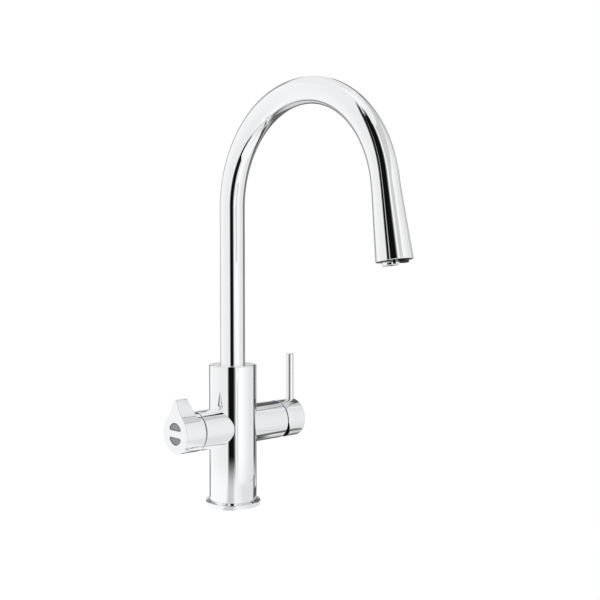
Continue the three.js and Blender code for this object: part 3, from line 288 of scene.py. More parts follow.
class Shell:
    """Grids of points that are welded into one mesh of closed shells."""

    def __init__(self, name: str) -> None:
        """Starts an empty mesh.

        Args:
            name: The piece's name.
        """
        self.name = name
        self.points: list[np.ndarray] = []
        self.faces: list[np.ndarray] = []
        self.count = 0

    def grid(self, points: np.ndarray, wrap: bool = True, loop: bool = False) -> "Shell":
        """Adds a grid whose cells are quads.

        Args:
            points: Array of shape (rows, columns, 3), in mm.
            wrap: True where the last column joins the first.
            loop: True where the last row joins the first.

        Returns:
            The shell itself.
        """
        rows, columns = points.shape[:2]
        index = np.arange(rows * columns).reshape(rows, columns) + self.count
        if wrap:
            index = np.concatenate([index, index[:, :1]], axis=1)
        if loop:
            index = np.concatenate([index, index[:1]], axis=0)
        self.points.append(points.reshape(-1, 3))
        self.faces.append(cells(index))
        self.count += rows * columns
        return self

    def turned(
        self, place: Place, profile: np.ndarray, count: int = 192, loop: bool = False
    ) -> "Shell":
        """Adds a profile of (radius, height) turned about the place's out direction.

        Args:
            place: The local frame.
            profile: Array of shape (n, 2), in mm.
            count: Steps round the turn.
            loop: True where the profile is closed in itself.

        Returns:
            The shell itself.
        """
        angles = full_turn(count)
        rings = [(circle_points(radius, angles), height) for radius, height in profile]
        return self.stacked(place, rings, loop)

    def stacked(
        self, place: Place, rings: list[tuple[np.ndarray, object]], loop: bool = False
    ) -> "Shell":
        """Adds a grid of rings.

        Args:
            place: The local frame.
            rings: Pairs of an outline (n, 2) and a height or n heights, in mm.
            loop: True where the last ring joins the first.

        Returns:
            The shell itself.
        """
        return self.grid(place.stack(rings), loop=loop)

    def mesh(self, sharp_degrees: float = 32.0) -> bpy.types.Object:
        """Welds the grids, turns the faces outwards and makes the object.

        Args:
            sharp_degrees: An edge between faces at a wider angle than this stays sharp.

        Returns:
            The object, which stands at the origin.
        """
        points = np.concatenate(self.points)
        faces = np.concatenate(self.faces)
        rounded = np.round(points, 4)
        _, first, same = np.unique(rounded, axis=0, return_index=True, return_inverse=True)
        points, faces = points[first] * MM, same.reshape(-1)[faces]
        repeated = faces == np.roll(faces, -1, axis=1)
        faces = faces[repeated.sum(axis=1) <= 1]
        repeated = faces == np.roll(faces, -1, axis=1)
        quads = faces[~repeated.any(axis=1)]
        folded = faces[repeated.any(axis=1)]
        kept = ~repeated[repeated.any(axis=1)]
        triangles = folded[kept].reshape(-1, 3)
        data = bpy.data.meshes.new(self.name)
        data.from_pydata(points.tolist(), [], quads.tolist() + triangles.tolist())
        grid = bmesh.new()
        grid.from_mesh(data)
        loose = [v for v in grid.verts if not v.link_faces]
        bmesh.ops.delete(grid, geom=loose, context="VERTS")
        bmesh.ops.recalc_face_normals(grid, faces=grid.faces)
        open_edges = sum(1 for edge in grid.edges if len(edge.link_faces) != 2)
        if open_edges:
            log.warning("%s has %d edges that aren't closed", self.name, open_edges)
        grid.to_mesh(data)
        grid.free()
        data.shade_smooth()
        data.set_sharp_from_angle(angle=math.radians(sharp_degrees))
        piece = bpy.data.objects.new(self.name, data)
        bpy.context.scene.collection.objects.link(piece)
        return piece


@dataclass(frozen=True)
class Bore:
    """A round hole in a wall that follows a cylinder, closed at its inner end."""

    column: int
    height: float
    radius: float
    depth: float
    reach: int = 6
    lip: float = 0.2
    spread: int = 5

    def rows(self, step: float) -> np.ndarray:
        """Heights of the wall's rows that make room for the hole.

        Args:
            step: The width of a cell round the wall, in mm.

        Returns:
            Twice reach plus one heights.
        """
        half = self.reach * step
        return self.height + np.linspace(-half, half, 2 * self.reach + 1)

    def square(self, across: np.ndarray, along: np.ndarray) -> np.ndarray:
        """The border of the square round the hole, anticlockwise from its lower left corner.

        Args:
            across: Places of the square's columns, in mm.
            along: Places of its rows, in mm.

        Returns:
            An array of shape (8 * reach, 2).
        """
        last = 2 * self.reach
        step = np.arange(last)
        stay = np.zeros(last, dtype=int)
        column = np.concatenate([step, stay + last, last - step, stay])
        row = np.concatenate([stay, step, stay + last, last - step])
        return np.stack([across[column], along[row]], axis=-1)

    def cut(
        self,
        shell: Shell,
        place: Place,
        radius: float,
        angles: np.ndarray,
        heights: np.ndarray,
        wall: np.ndarray,
    ) -> None:
        """Adds the wall with the hole in it.

        The cells round the hole are left out. Rings run from that square's border to the hole's
        rounded lip, blending border * (1 - t) + circle * t on the unrolled wall, then inwards.

        Args:
            shell: The shell that takes the grids.
            place: The local frame.
            radius: Radius of the wall round the hole, in mm.
            angles: The columns' angles.
            heights: Heights of the rows at the hole's column.
            wall: The wall's points, of shape (rows, columns, 3).
        """
        count = len(angles)
        facing = angles[self.column]
        low = int(np.argmin(np.abs(heights - self.rows(radius * (angles[1] - angles[0]))[0])))
        high = low + 2 * self.reach
        shell.grid(wall[: low + 1]).grid(wall[high:])
        rest = np.arange(self.column + self.reach, self.column - self.reach + 1 + count)
        shell.grid(wall[low : high + 1][:, rest % count], wrap=False)
        columns = np.arange(self.column - self.reach, self.column + self.reach + 1)
        across = radius * ((angles[columns % count] - facing + math.pi) % TURN - math.pi)
        border = self.square(across, heights[low : high + 1] - self.height)
        ray = border / np.linalg.norm(border, axis=1, keepdims=True)
        share = np.linspace(0, 1, self.spread + 1)[:, None, None]
        lip = quarter_round(self.lip, 4)[1:]
        sizes = np.array([self.radius + aside for aside, _ in lip] + [self.radius, 0.0])
        sunk = np.array([0.0] * len(share) + [along for _, along in lip] + [self.depth] * 2)
        blend = border * (1 - share) + ray * (self.radius + self.lip) * share
        flat = np.concatenate([blend, ray * sizes[:, None, None]])
        angle = facing + flat[..., 0] / radius
        x = radius * np.cos(angle) - sunk[:, None] * math.cos(facing)
        y = radius * np.sin(angle) - sunk[:, None] * math.sin(facing)
        shell.grid(place.points(x, y, flat[..., 1] + self.height))


# ---------------------------------------------------------------- shader maths


def tone(level: float) -> float:
    """The light that shows as a grey level of 0 to 255 in polished chrome."""
    share = level / 255
    return (share / 12.92 if share < 0.04045 else ((share + 0.055) / 1.055) ** 2.4) / 0.93


class Signal:
    """A shader value. Using it in an expression adds the Math nodes for it."""

    def __init__(self, graph: "Graph", socket: bpy.types.NodeSocket) -> None:
        """Wraps a socket of a graph."""
        self.graph = graph
        self.socket = socket

    def __add__(self, other: object) -> "Signal":
        """Self + other."""
        return self.graph.math("ADD", self, other)

    def __sub__(self, other: object) -> "Signal":
        """Self - other."""
        return self.graph.math("SUBTRACT", self, other)

    def __rsub__(self, other: object) -> "Signal":
        """Other - self."""
        return self.graph.math("SUBTRACT", other, self)

    def __mul__(self, other: object) -> "Signal":
        """Self * other."""
        return self.graph.math("MULTIPLY", self, other)

    def __truediv__(self, other: object) -> "Signal":
        """Self / other."""
        return self.graph.math("DIVIDE", self, other)

    def __rtruediv__(self, other: object) -> "Signal":
        """Other / self."""
        return self.graph.math("DIVIDE", other, self)

    __radd__ = __add__
    __rmul__ = __mul__

    def band(self, low: float, high: float, soft: float) -> "Signal":
        """A mask that is 1 between low and high.

        Args:
            low: Lower edge.
            high: Upper edge.
            soft: Width of the soft step at each edge.

        Returns:
            The mask.
        """
        return self.step(low, soft) * (1 - self.step(high, soft))

    def step(self, edge: float, soft: float) -> "Signal":
        """A soft step from 0 to 1.

        Args:
            edge: Where the step's middle lies.
            soft: Its width.

        Returns:
            The step.
        """
        settings = {"interpolation_type": "SMOOTHSTEP"}
        values = {0: self, 1: edge - soft / 2, 2: edge + soft / 2, 3: 0.0, 4: 1.0}
        return self.graph.node("ShaderNodeMapRange", settings, values)

    def painted(self, *layers: tuple[float, "Signal"]) -> "Signal":
        """This level with grey levels laid over it, one after the other.

        Args:
            layers: Pairs of a grey level of 0 to 255 and the mask where it shows.

        Returns:
            The level.
        """
        level = self
        for grey, mask in layers:
            level = level + (tone(grey) - level) * mask
        return level


class Graph:
    """The node tree of a material or of the world."""

    def __init__(self, holder: object) -> None:
        """Empties the node tree.

        Args:
            holder: The new material or world.
        """
        holder.use_nodes = True
        self.tree = holder.node_tree
        self.tree.nodes.clear()

    def node(
        self,
        kind: str,
        settings: dict | None = None,
        values: dict | None = None,
        output: object = 0,
    ) -> Signal:
        """Adds a node.

        Args:
            kind: The node's type.
            settings: Its settings, which are set first. "stops" gives a ramp's stops.
            values: Values, signals or colours of its sockets, by name or number.
            output: The name or number of the socket that is returned.

        Returns:
            That output as a signal.
        """
        node = self.tree.nodes.new(kind)
        for name, value in (settings or {}).items():
            if name == "stops":
                self.fill_ramp(node, value)
            else:
                setattr(node, name, value)
        for name, value in (values or {}).items():
            if isinstance(value, Signal):
                self.tree.links.new(value.socket, node.inputs[name])
            else:
                node.inputs[name].default_value = value
        return Signal(self, node.outputs[output]) if len(node.outputs) else Signal(self, None)

    def math(self, operation: str, *values: object) -> Signal:
        """The result of a Math node on one or two values."""
        return self.node("ShaderNodeMath", {"operation": operation}, dict(enumerate(values)))

    def ray(self, kind: str) -> Signal:
        """1 for a ray of the kind, such as Camera or Glossy, and 0 for any other."""
        return self.node("ShaderNodeLightPath", output=f"Is {kind} Ray")

    def glow(self, strength: Signal) -> Signal:
        """White light of the given strength."""
        return self.node("ShaderNodeEmission", {}, {"Strength": strength})

    def blend(self, factor: Signal, first: Signal, second: Signal) -> Signal:
        """The first shader where the factor is 0 and the second one where it is 1."""
        return self.node("ShaderNodeMixShader", {}, {0: factor, 1: first, 2: second})

    def finish(self, surface: Signal, kind: str = "Material") -> None:
        """Leads a shader to the output."""
        self.node(f"ShaderNodeOutput{kind}", {}, {"Surface": surface})

    @staticmethod
    def fill_ramp(node: bpy.types.Node, stops: list[tuple[float, float]]) -> None:
        """Puts grey stops on a ramp.

        Args:
            node: A Color Ramp node.
            stops: Pairs of place and level.
        """
        elements = node.color_ramp.elements
        for at, (place, level) in enumerate(stops):
            element = elements[at] if at < 2 else elements.new(place)
            element.position = place
            element.color = (level, level, level, 1.0)

    def objects(self) -> Signal:
        """The Object coordinates, in metres."""
        return self.node("ShaderNodeTexCoord", output="Object")

    def noise(self, scale: float, detail: float = 2.0) -> Signal:
        """Noise on Object coordinates.

        Args:
            scale: Cells per metre.
            detail: Octaves.

        Returns:
            Values round 0.5.
        """
        values = {"Vector": self.objects(), "Scale": scale, "Detail": detail}
        return self.node("ShaderNodeTexNoise", {}, values, "Fac")

    def place(self) -> tuple[Signal, Signal, Signal]:
        """X, Y and Z of the Object coordinates, in metres."""
        node = self.node("ShaderNodeSeparateXYZ", {}, {0: self.objects()}).socket.node
        return tuple(Signal(self, output) for output in node.outputs)

    def mixed(self, factor: Signal, dark: tuple, light: tuple) -> Signal:
        """A colour between two colours.

        Args:
            factor: 0 gives the first colour and 1 the second.
            dark: The first colour, RGBA.
            light: The second colour, RGBA.

        Returns:
            The colour.
        """
        return self.node("ShaderNodeMix", {"data_type": "RGBA"}, {0: factor, 6: dark, 7: light}, 2)


class Grain(Enum):
    """What a surface shows when one looks closely."""

    POLISHED = "polished"
    TURNED = "turned"
    MOULDED = "moulded"
    LAPPED = "lapped"
    COATED = "coated"


@dataclass(frozen=True)
class Finish:
    """A procedural material for one of the object's finishes."""

    slot: str
    color: tuple[float, float, float]
    variation: float
    roughness: float
    spread: float
    metallic: float = 0.0
    grain: Grain = Grain.MOULDED
    scale: float = 900.0
    bump: float = 0.0
    coat: float = 0.0
    # True where the faces inside the side barrels' ends get painted shade for the gaps.
    paints_gap_shade: bool = False

    def pattern(self, graph: Graph) -> Signal:
        """The grain as values round 0.5.

        Polished, moulded and coated grains are noise, a lapped face is coarse noise, and a turned
        face has fine lines across the height, broken up by noise.

        Args:
            graph: The material's graph.

        Returns:
            The pattern.
        """
        if self.grain is Grain.TURNED:
            x, y, z = graph.place()
            wave = graph.math("SINE", ((x + y) * 0.35 + z) * (self.scale * 8)) * 0.3 + 0.5
            return wave * 0.5 + graph.noise(self.scale, 3) * 0.5
        detail = {Grain.POLISHED: 2, Grain.LAPPED: 1, Grain.COATED: 4}.get(self.grain, 3)
        return graph.noise(self.scale, detail)

    def painted_gap_shade(self, graph: Graph) -> Signal:
        """A mask of painted shade on the faces inside the side barrels' ends, round their gaps.

        It is 1 within 19.4 mm of the barrels' axis, between 46 and 68 mm from the column's.

        Args:
            graph: The material's graph.

        Returns:
            The mask.
        """
        x, y, z = graph.place()
        height = z - BARREL_HEIGHT * MM
        radius = graph.math("SQRT", y * y + height * height)
        ends = graph.math("ABSOLUTE", x).band(0.046, 0.068, 0.0005)
        return ends * (1 - radius.step(0.0194, 0.0001))

    def material(self) -> bpy.types.Material:
        """Builds the material.

        The pattern moves the colour and the roughness a little and, where bump is set, feeds a
        Bump node.

        Returns:
            The material.
        """
        made = bpy.data.materials.new(self.slot)
        graph = Graph(made)
        pattern = self.pattern(graph)
        broad = graph.noise(55.0, 2)
        dark = tuple(c * (1 - self.variation) for c in self.color) + (1.0,)
        light = tuple(min(1.0, c * (1 + self.variation)) for c in self.color) + (1.0,)
        color = graph.mixed(broad * 0.6 + pattern * 0.4, dark, light)
        # Painted shade: near black on the faces inside the side barrels' ends, for the gaps.
        if self.paints_gap_shade:
            color = graph.mixed(self.painted_gap_shade(graph), color, (0.02, 0.02, 0.022, 1.0))
        uneven = broad * 0.5 + pattern * 0.5
        values = {
            "Base Color": color,
            "Roughness": uneven * (2 * self.spread) + (self.roughness - self.spread),
            "Metallic": self.metallic,
        }
        if self.coat:
            values |= {"Coat Weight": self.coat, "Coat Roughness": 0.05}
        if self.bump:
            relief = {"Height": pattern, "Distance": self.bump, "Strength": 1.0}
            values["Normal"] = graph.node("ShaderNodeBump", {}, relief)
        graph.finish(graph.node("ShaderNodeBsdfPrincipled", {}, values))
        return made


FINISHES = (
    Finish(
        # The chrome carries the painted shade inside the side barrels' ends.
        "chrome", (0.93, 0.935, 0.945), 0.006, 0.035, 0.012, 1.0, Grain.POLISHED, 420, paints_gap_shade=True
    ),
    Finish("brass", (0.74, 0.58, 0.29), 0.10, 0.30, 0.10, 1.0, Grain.TURNED, 700, 0.00001),
    Finish("steel", (0.62, 0.63, 0.65), 0.08, 0.28, 0.08, 1.0, Grain.TURNED, 900, 0.00001),
    Finish("ceramic", (0.86, 0.85, 0.82), 0.02, 0.18, 0.05, 0.0, Grain.LAPPED, 260),
    Finish("black_plastic", (0.018, 0.019, 0.021), 0.12, 0.42, 0.08, scale=2600, bump=0.00002),
    Finish("pale_plastic", (0.70, 0.64, 0.51), 0.05, 0.45, 0.08, scale=1900, bump=0.00002),
    Finish("grey_plastic", (0.31, 0.32, 0.335), 0.05, 0.30, 0.06, scale=1500, bump=0.00001),
    Finish("board", (0.05, 0.18, 0.08), 0.15, 0.42, 0.08, 0.0, Grain.COATED, 1400, 0.00001),
    Finish("rubber", (0.010, 0.010, 0.011), 0.15, 0.60, 0.10, scale=1700, bump=0.00003),
    Finish("blue_enamel", (0.008, 0.10, 0.32), 0.08, 0.25, 0.05, 0.0, Grain.COATED, 1200, 0.0, 0.3),
    Finish("red_enamel", (0.40, 0.015, 0.015), 0.08, 0.25, 0.05, 0.0, Grain.COATED, 1200, 0.0, 0.3),
)


class Workshop:
    """Holds the materials and dresses the pieces with them."""

    def __init__(self, frame: dict) -> None:
        """Builds every material once.
        """
        self.frame = frame
        self.materials = {finish.slot: finish.material() for finish in FINISHES}

    def coat(self, piece: bpy.types.Object, slot: str) -> None:
        """Gives a piece the slot's material and no other."""
        piece.data.materials.clear()
        piece.data.materials.append(self.materials[slot])

    def dress(self, piece: bpy.types.Object, slot: str, body: str, *nodes: str) -> None:
        """Gives a piece its finish, its body and the nodes that it stands for.

        Args:
            piece: The new piece.
            slot: The record's material slot.
            body: The body that it rides on.
            nodes: The CAD nodes that it replaces.
        """
        self.coat(piece, slot)
        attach(piece, body)
        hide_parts(*nodes)
        faces = len(piece.data.polygons)
        log.info("%s: %d faces, %s, rides on %s", piece.name, faces, slot, body)

    def keep(self, node: str, slot: str) -> None:
        """Leaves a CAD node in its shape and gives it a procedural material.

        Args:
            node: The node's name.
            slot: The material slot.
        """
        self.coat(self.frame["nodes"][node], slot)
        log.info("%s: kept, %s", node, slot)


# ---------------------------------------------------------------- the column and its barrels


MIXER_SIDE = Place((0, 0, BARREL_HEIGHT), (0, 1, 0), (0, 0, 1), (1, 0, 0))
SELECTOR_SIDE = Place((0, 0, BARREL_HEIGHT), (0, -1, 0), (0, 0, 1), (-1, 0, 0))


@dataclass
class Column:
    """The chromed body: a hollow column and two side barrels, with the foot's flange."""

    radius: float = 24.0
    foot: float = 3.3
    foot_edge: float = 0.25
    top: float = 143.1
    edge: float = 1.0
    wall: float = 2.4
    tube_hole: float = 12.8
    bush_pocket: float = 14.9
    lip_bottom: float = 139.5
    bulkhead: float = 118.0
    stop_height: float = 109.4
    stop_hole: float = 2.0
    stop_depth: float = 3.0
    barrel: float = 19.8
    barrel_bore: float = 17.9
    barrel_edge: float = 0.5
    barrel_root: float = 14.0
    mixer_end: float = 58.0
    selector_end: float = 47.4
    mark_low: float = 52.9
    mark_high: float = 55.4
    mark_start: float = 1.5
    mark_end: float = 21.5
    mark_sink: float = 0.08
    mark_crown: float = 0.06
    groove: float = 0.6
    gap: float = 0.3
    columns: int = 256
    flange: float = 28.0
    flange_rim: float = 4.4
    flange_foot: float = 6.2
    flange_step: float = 3.0
    flange_bore: float = 17.0
    flange_gap: float = 0.15

    def column(self, shell: Shell) -> None:
        """Adds the column's ring-shaped shell, with the stop screw's hole at its back.

        Args:
            shell: The body's shell.
        """
        place = Place()
        angles = full_turn(self.columns)
        hole = Bore(self.columns // 4, self.stop_height, self.stop_hole, self.stop_depth)
        start = self.foot + self.foot_edge
        shoulder = self.top - self.edge
        rows = hole.rows(self.radius * TURN / self.columns)
        heights = np.concatenate([[start], rows, [shoulder]])
        ring = circle_points(self.radius, angles)
        wall = place.stack([(ring, height) for height in heights])
        hole.cut(shell, place, self.radius, angles, heights, wall)
        upper = filleted(
            [
                (self.radius, shoulder - 2, 0),
                (self.radius, self.top, self.edge),
                (self.tube_hole, self.top, 0.25),
                (self.tube_hole, self.lip_bottom, 0),
            ],
            steps=9,
        )[1:]
        bore = self.radius - self.wall
        rest = [
            (self.bush_pocket, self.lip_bottom),
            (self.bush_pocket, self.bulkhead),
            (bore, self.bulkhead),
            (bore, self.foot),
            (self.radius - self.foot_edge, self.foot),
            (self.radius, start),
        ]
        shell.turned(place, np.concatenate([[(self.radius, shoulder)], upper, rest]), self.columns)

    def barrel_wall(self, end: float, marked: bool) -> tuple[np.ndarray, np.ndarray]:
        """Heights and radii of a barrel's outside, with the marks' grooves pressed in.

        The radius drops by the groove's depth where a point is between the mark's two ends and
        within its angles. Rows and columns come in close pairs at the grooves' borders.

        Args:
            end: Where the barrel ends.
            marked: True for the barrel with the two marks.

        Returns:
            The columns' angles, and an array (rows, columns, 2) of radius and height.
        """
        angles = full_turn(self.columns)
        last = end - self.barrel_edge - FLAT_MARGIN
        if not marked:
            rows = np.array([self.barrel_root, end - 6.0, last])
            radii = np.full((len(rows), len(angles)), self.barrel)
            return angles, np.stack([radii, rows[:, None] + 0 * radii], axis=-1)
        slack = math.degrees(self.gap / self.barrel)
        borders = [
            side * (degrees + shift)
            for side in (-1, 1)
            for degrees in (self.mark_start - slack, self.mark_end + slack)
            for shift in (-0.04, 0.04)
        ]
        angles = np.unique(np.concatenate([angles, (math.pi / 2 + np.radians(borders)) % TURN]))
        low, high = self.mark_low - self.gap, self.mark_high + self.gap
        pairs = [place + shift for place in (low, high) for shift in (-0.015, 0.015)]
        rows = np.array([self.barrel_root, low - 1, *pairs, last])
        radii = np.full((len(rows), len(angles)), self.barrel)
        from_top = np.abs(np.degrees(angles - math.pi / 2))
        within = (from_top > self.mark_start - slack) & (from_top < self.mark_end + slack)
        radii[np.outer((rows > low) & (rows < high), within)] -= self.groove
        return angles, np.stack([radii, rows[:, None] + 0 * radii], axis=-1)

    def barrel_shell(self, shell: Shell, place: Place, end: float, marked: bool) -> None:
        """Adds a barrel: outside, rounded end, bore, closed inside the column.

        Args:
            shell: The body's shell.
            place: The barrel's frame.
            end: Where it ends.
            marked: True for the barrel with the two marks.
        """
        angles, wall = self.barrel_wall(end, marked)
        edge = filleted(
            [
                (self.barrel, end - 2, 0),
                (self.barrel, end, self.barrel_edge),
                (self.barrel_bore, end, 0.2),
                (self.barrel_bore, self.barrel_root, 0),
            ]
        )[1:]
        rest = np.broadcast_to(edge[:, None], (len(edge), len(angles), 2))
        radius, height = np.moveaxis(np.concatenate([wall, rest]), -1, 0)
        points = place.points(radius * np.cos(angles), radius * np.sin(angles), height)
        shell.grid(points, loop=True)

    def mark(self, name: str, side: int) -> bpy.types.Object:
        """An enamel inlay: a slightly crowned sector that stands in its groove.

        The section runs round the inlay; its outer side rises by the crown in the middle.

        Args:
            name: The piece's name.
            side: 1 towards the front, -1 towards the back.

        Returns:
            The piece.
        """
        inner, outer = self.barrel - self.groove + self.gap, self.barrel
        across = np.linspace(0, 1, 9)
        crown = outer - self.mark_sink + self.mark_crown * (1 - (2 * across - 1) ** 4)
        high, low = self.mark_high, self.mark_low
        radius = np.concatenate([[inner], crown, [inner]])
        height = np.concatenate([[low], low + (high - low) * across, [high]])
        centre = math.pi / 2 + side * math.radians((self.mark_start + self.mark_end) / 2)
        half = math.radians(self.mark_end - self.mark_start) / 2
        angles = centre + np.linspace(-half, half, 33)
        closed = np.full_like(radius, (inner + outer) / 2)
        radii = np.stack([closed] + [radius] * len(angles) + [closed])
        turns = np.concatenate([angles[:1], angles, angles[-1:]])[:, None]
        points = MIXER_SIDE.points(radii * np.cos(turns), radii * np.sin(turns), height)
        shell = Shell(name).grid(points)
        for end in (points[0], points[-1]):
            shell.grid(np.stack([end, end[::-1]])[:, : (len(radius) + 1) // 2], wrap=False)
        return shell.mesh()

    def foot_flange(self) -> bpy.types.Object:
        """The bevelled ring under the column, turned from a rounded profile.

        Returns:
            The piece.
        """
        seat = self.radius + self.flange_gap
        profile = filleted(
            [
                (self.flange_bore, 0.0, 0),
                (self.flange, 0.0, 0.15),
                (self.flange, self.flange_rim, 0.6),
                (seat, self.flange_foot, 0.12),
                (seat, self.flange_step, 0),
                (self.flange_bore, self.flange_step, 0),
            ],
            closed=True,
        )
        return Shell("base_flange_skin").turned(Place(), profile, self.columns, loop=True).mesh()

    def build(self, shop: Workshop) -> None:
        """Builds and dresses the body, the flange and the marks.

        Args:
            shop: The workshop.
        """
        body = Shell("tap_body_skin")
        self.column(body)
        self.barrel_shell(body, MIXER_SIDE, self.mixer_end, True)
        self.barrel_shell(body, SELECTOR_SIDE, self.selector_end, False)
        shop.dress(body.mesh(), "chrome", "tap", "tap_body")
        shop.dress(self.foot_flange(), "chrome", "tap", "base_flange")
        shop.dress(self.mark("cold_mark_inlay", 1), "blue_enamel", "tap", "cold_mark")
        shop.dress(self.mark("hot_mark_inlay", -1), "red_enamel", "tap", "hot_mark")


# ---------------------------------------------------------------- the mixer's cap and lever


@dataclass
class MixerLever:
    """The tilting cap and its upright pin."""

    start: float = 59.0
    end: float = 82.3
    radius: float = 19.7
    wall: float = 1.9
    cavity: float = 7.0
    edge: float = 0.8
    rim: float = 0.4
    wedge_start: float = 0.8
    wedge_degrees: float = 22.5
    grub_place: float = 70.0
    grub_hole: float = 2.2
    grub_depth: float = 7.0
    pin: float = 3.7
    pin_place: float = 78.2
    pin_top: float = 68.35
    pin_edge: float = 0.9
    stud: float = 2.5
    stud_depth: float = 6.0
    seat: float = 0.02
    columns: int = 256

    def inner_edge(self, y: np.ndarray) -> np.ndarray:
        """Where the cap begins at height y: the start, or the slanted cut below the axis.

        Args:
            y: Heights from the axis, in mm.

        Returns:
            Places along the axis.
        """
        slope = math.tan(math.radians(self.wedge_degrees))
        return self.start + np.maximum(0, -self.wedge_start - y) * slope

    def cap(self) -> bpy.types.Object:
        """The cap: slanted inner edge, round wall with the grub screw's hole, rounded outer end.

        Returns:
            The piece.
        """
        angles = full_turn(self.columns)
        column = 3 * self.columns // 4
        hole = Bore(column, self.grub_place, self.grub_hole, self.grub_depth)
        rim = []
        for aside, along in quarter_round(self.rim):
            ring = circle_points(self.radius - aside, angles)
            rim.append((ring, self.inner_edge(ring[:, 1]) + along))
        outer, low = rim[-1]
        last = self.end - self.edge - 0.15
        heights = [*hole.rows(self.radius * TURN / self.columns), last]
        wall = MIXER_SIDE.stack([rim[-1]] + [(outer, height) for height in heights])
        at_hole = np.array([low[hole.column], *heights])
        shell = Shell("mixer_cap_skin")
        hole.cut(shell, MIXER_SIDE, self.radius, angles, at_hole, wall)
        bore = circle_points(self.radius - self.wall, angles)
        floor = self.start + self.cavity
        mouth = np.minimum(self.inner_edge(bore[:, 1]), floor)
        shell.stacked(MIXER_SIDE, [(0 * bore, floor), (bore, floor), (bore, mouth)] + rim)
        face = filleted(
            [(self.radius, last, 0), (self.radius, self.end, self.edge), (0.0, self.end, 0)],
            steps=9,
        )
        return shell.turned(MIXER_SIDE, face, self.columns).mesh()

    def lever(self) -> bpy.types.Object:
        """The pin: its lower end follows the cap, height = sqrt(seat^2 - across^2).

        Returns:
            The piece.
        """
        place = Place((self.pin_place, 0, BARREL_HEIGHT), (0, 1, 0), (1, 0, 0), (0, 0, 1))
        angles = full_turn(96)
        top = filleted(
            [
                (self.pin, self.pin_top - 4, 0),
                (self.pin, self.pin_top, self.pin_edge),
                (0.0, self.pin_top, 0),
            ],
            steps=9,
        )
        seat = self.radius + self.seat
        ring, stud = circle_points(self.pin, angles), circle_points(self.stud, angles)
        saddle = np.sqrt(seat**2 - ring[:, 0] ** 2)
        below = self.radius - self.stud_depth
        rows = [
            (0 * stud, below),
            (stud, below),
            (stud, np.sqrt(seat**2 - stud[:, 0] ** 2)),
            (circle_points(self.pin - FLAT_MARGIN, angles), saddle),
            (ring, saddle + FLAT_MARGIN),
            (ring, self.radius + 1.2),
        ]
        rows += [(circle_points(radius, angles), height) for radius, height in top]
        return Shell("mixer_lever_pin_skin").stacked(place, rows).mesh()

    def build(self, shop: Workshop) -> None:
        """Builds and dresses the cap and the pin.

        Args:
            shop: The workshop.
        """
        shop.dress(self.cap(), "chrome", "mixer_lever", "mixer_cap")
        shop.dress(self.lever(), "chrome", "mixer_lever", "mixer_lever_pin")


# ---------------------------------------------------------------- faces with windows


def polar(outline: np.ndarray, centre: np.ndarray, bearings: np.ndarray) -> np.ndarray:
    """Points of an outline on rays from a centre that sees all of it.

    The outline's distance is interpolated over its bearing.

    Args:
        outline: Points of shape (n, 2).
        centre: The rays' origin.
        bearings: The rays' directions, in radians.

    Returns:
        An array of shape (len(bearings), 2).
    """
    angle = rays_to(outline, centre)
    order = np.argsort(angle)
    distance = np.linalg.norm(outline - centre, axis=1)[order]
    reach = np.interp(bearings, angle[order], distance, period=TURN)
    return centre + reach[:, None] * circle_points(1.0, bearings)


def halves(border: np.ndarray, first: int, second: int, steps: int = 40) -> list[np.ndarray]:
    """The two closed lines that a chord makes of a closed border.

    Args:
        border: Points of shape (n, 2).
        first: Index of the point where the chord starts.
        second: Index of the point where it ends.
        steps: Steps along the chord.

    Returns:
        The line from first to second and back along the chord, and the line of the rest.
    """
    lines = []
    for start, end in ((first, second), (second, first)):
        way = np.arange(start, start + (end - start) % len(border) + 1) % len(border)
        share = np.linspace(0, 1, steps + 1)[1:-1, None]
        chord = border[way[-1]] * (1 - share) + border[way[0]] * share
        lines.append(np.concatenate([border[way], chord]))
    return lines


# ---------------------------------------------------------------- the selector's knob and buttons


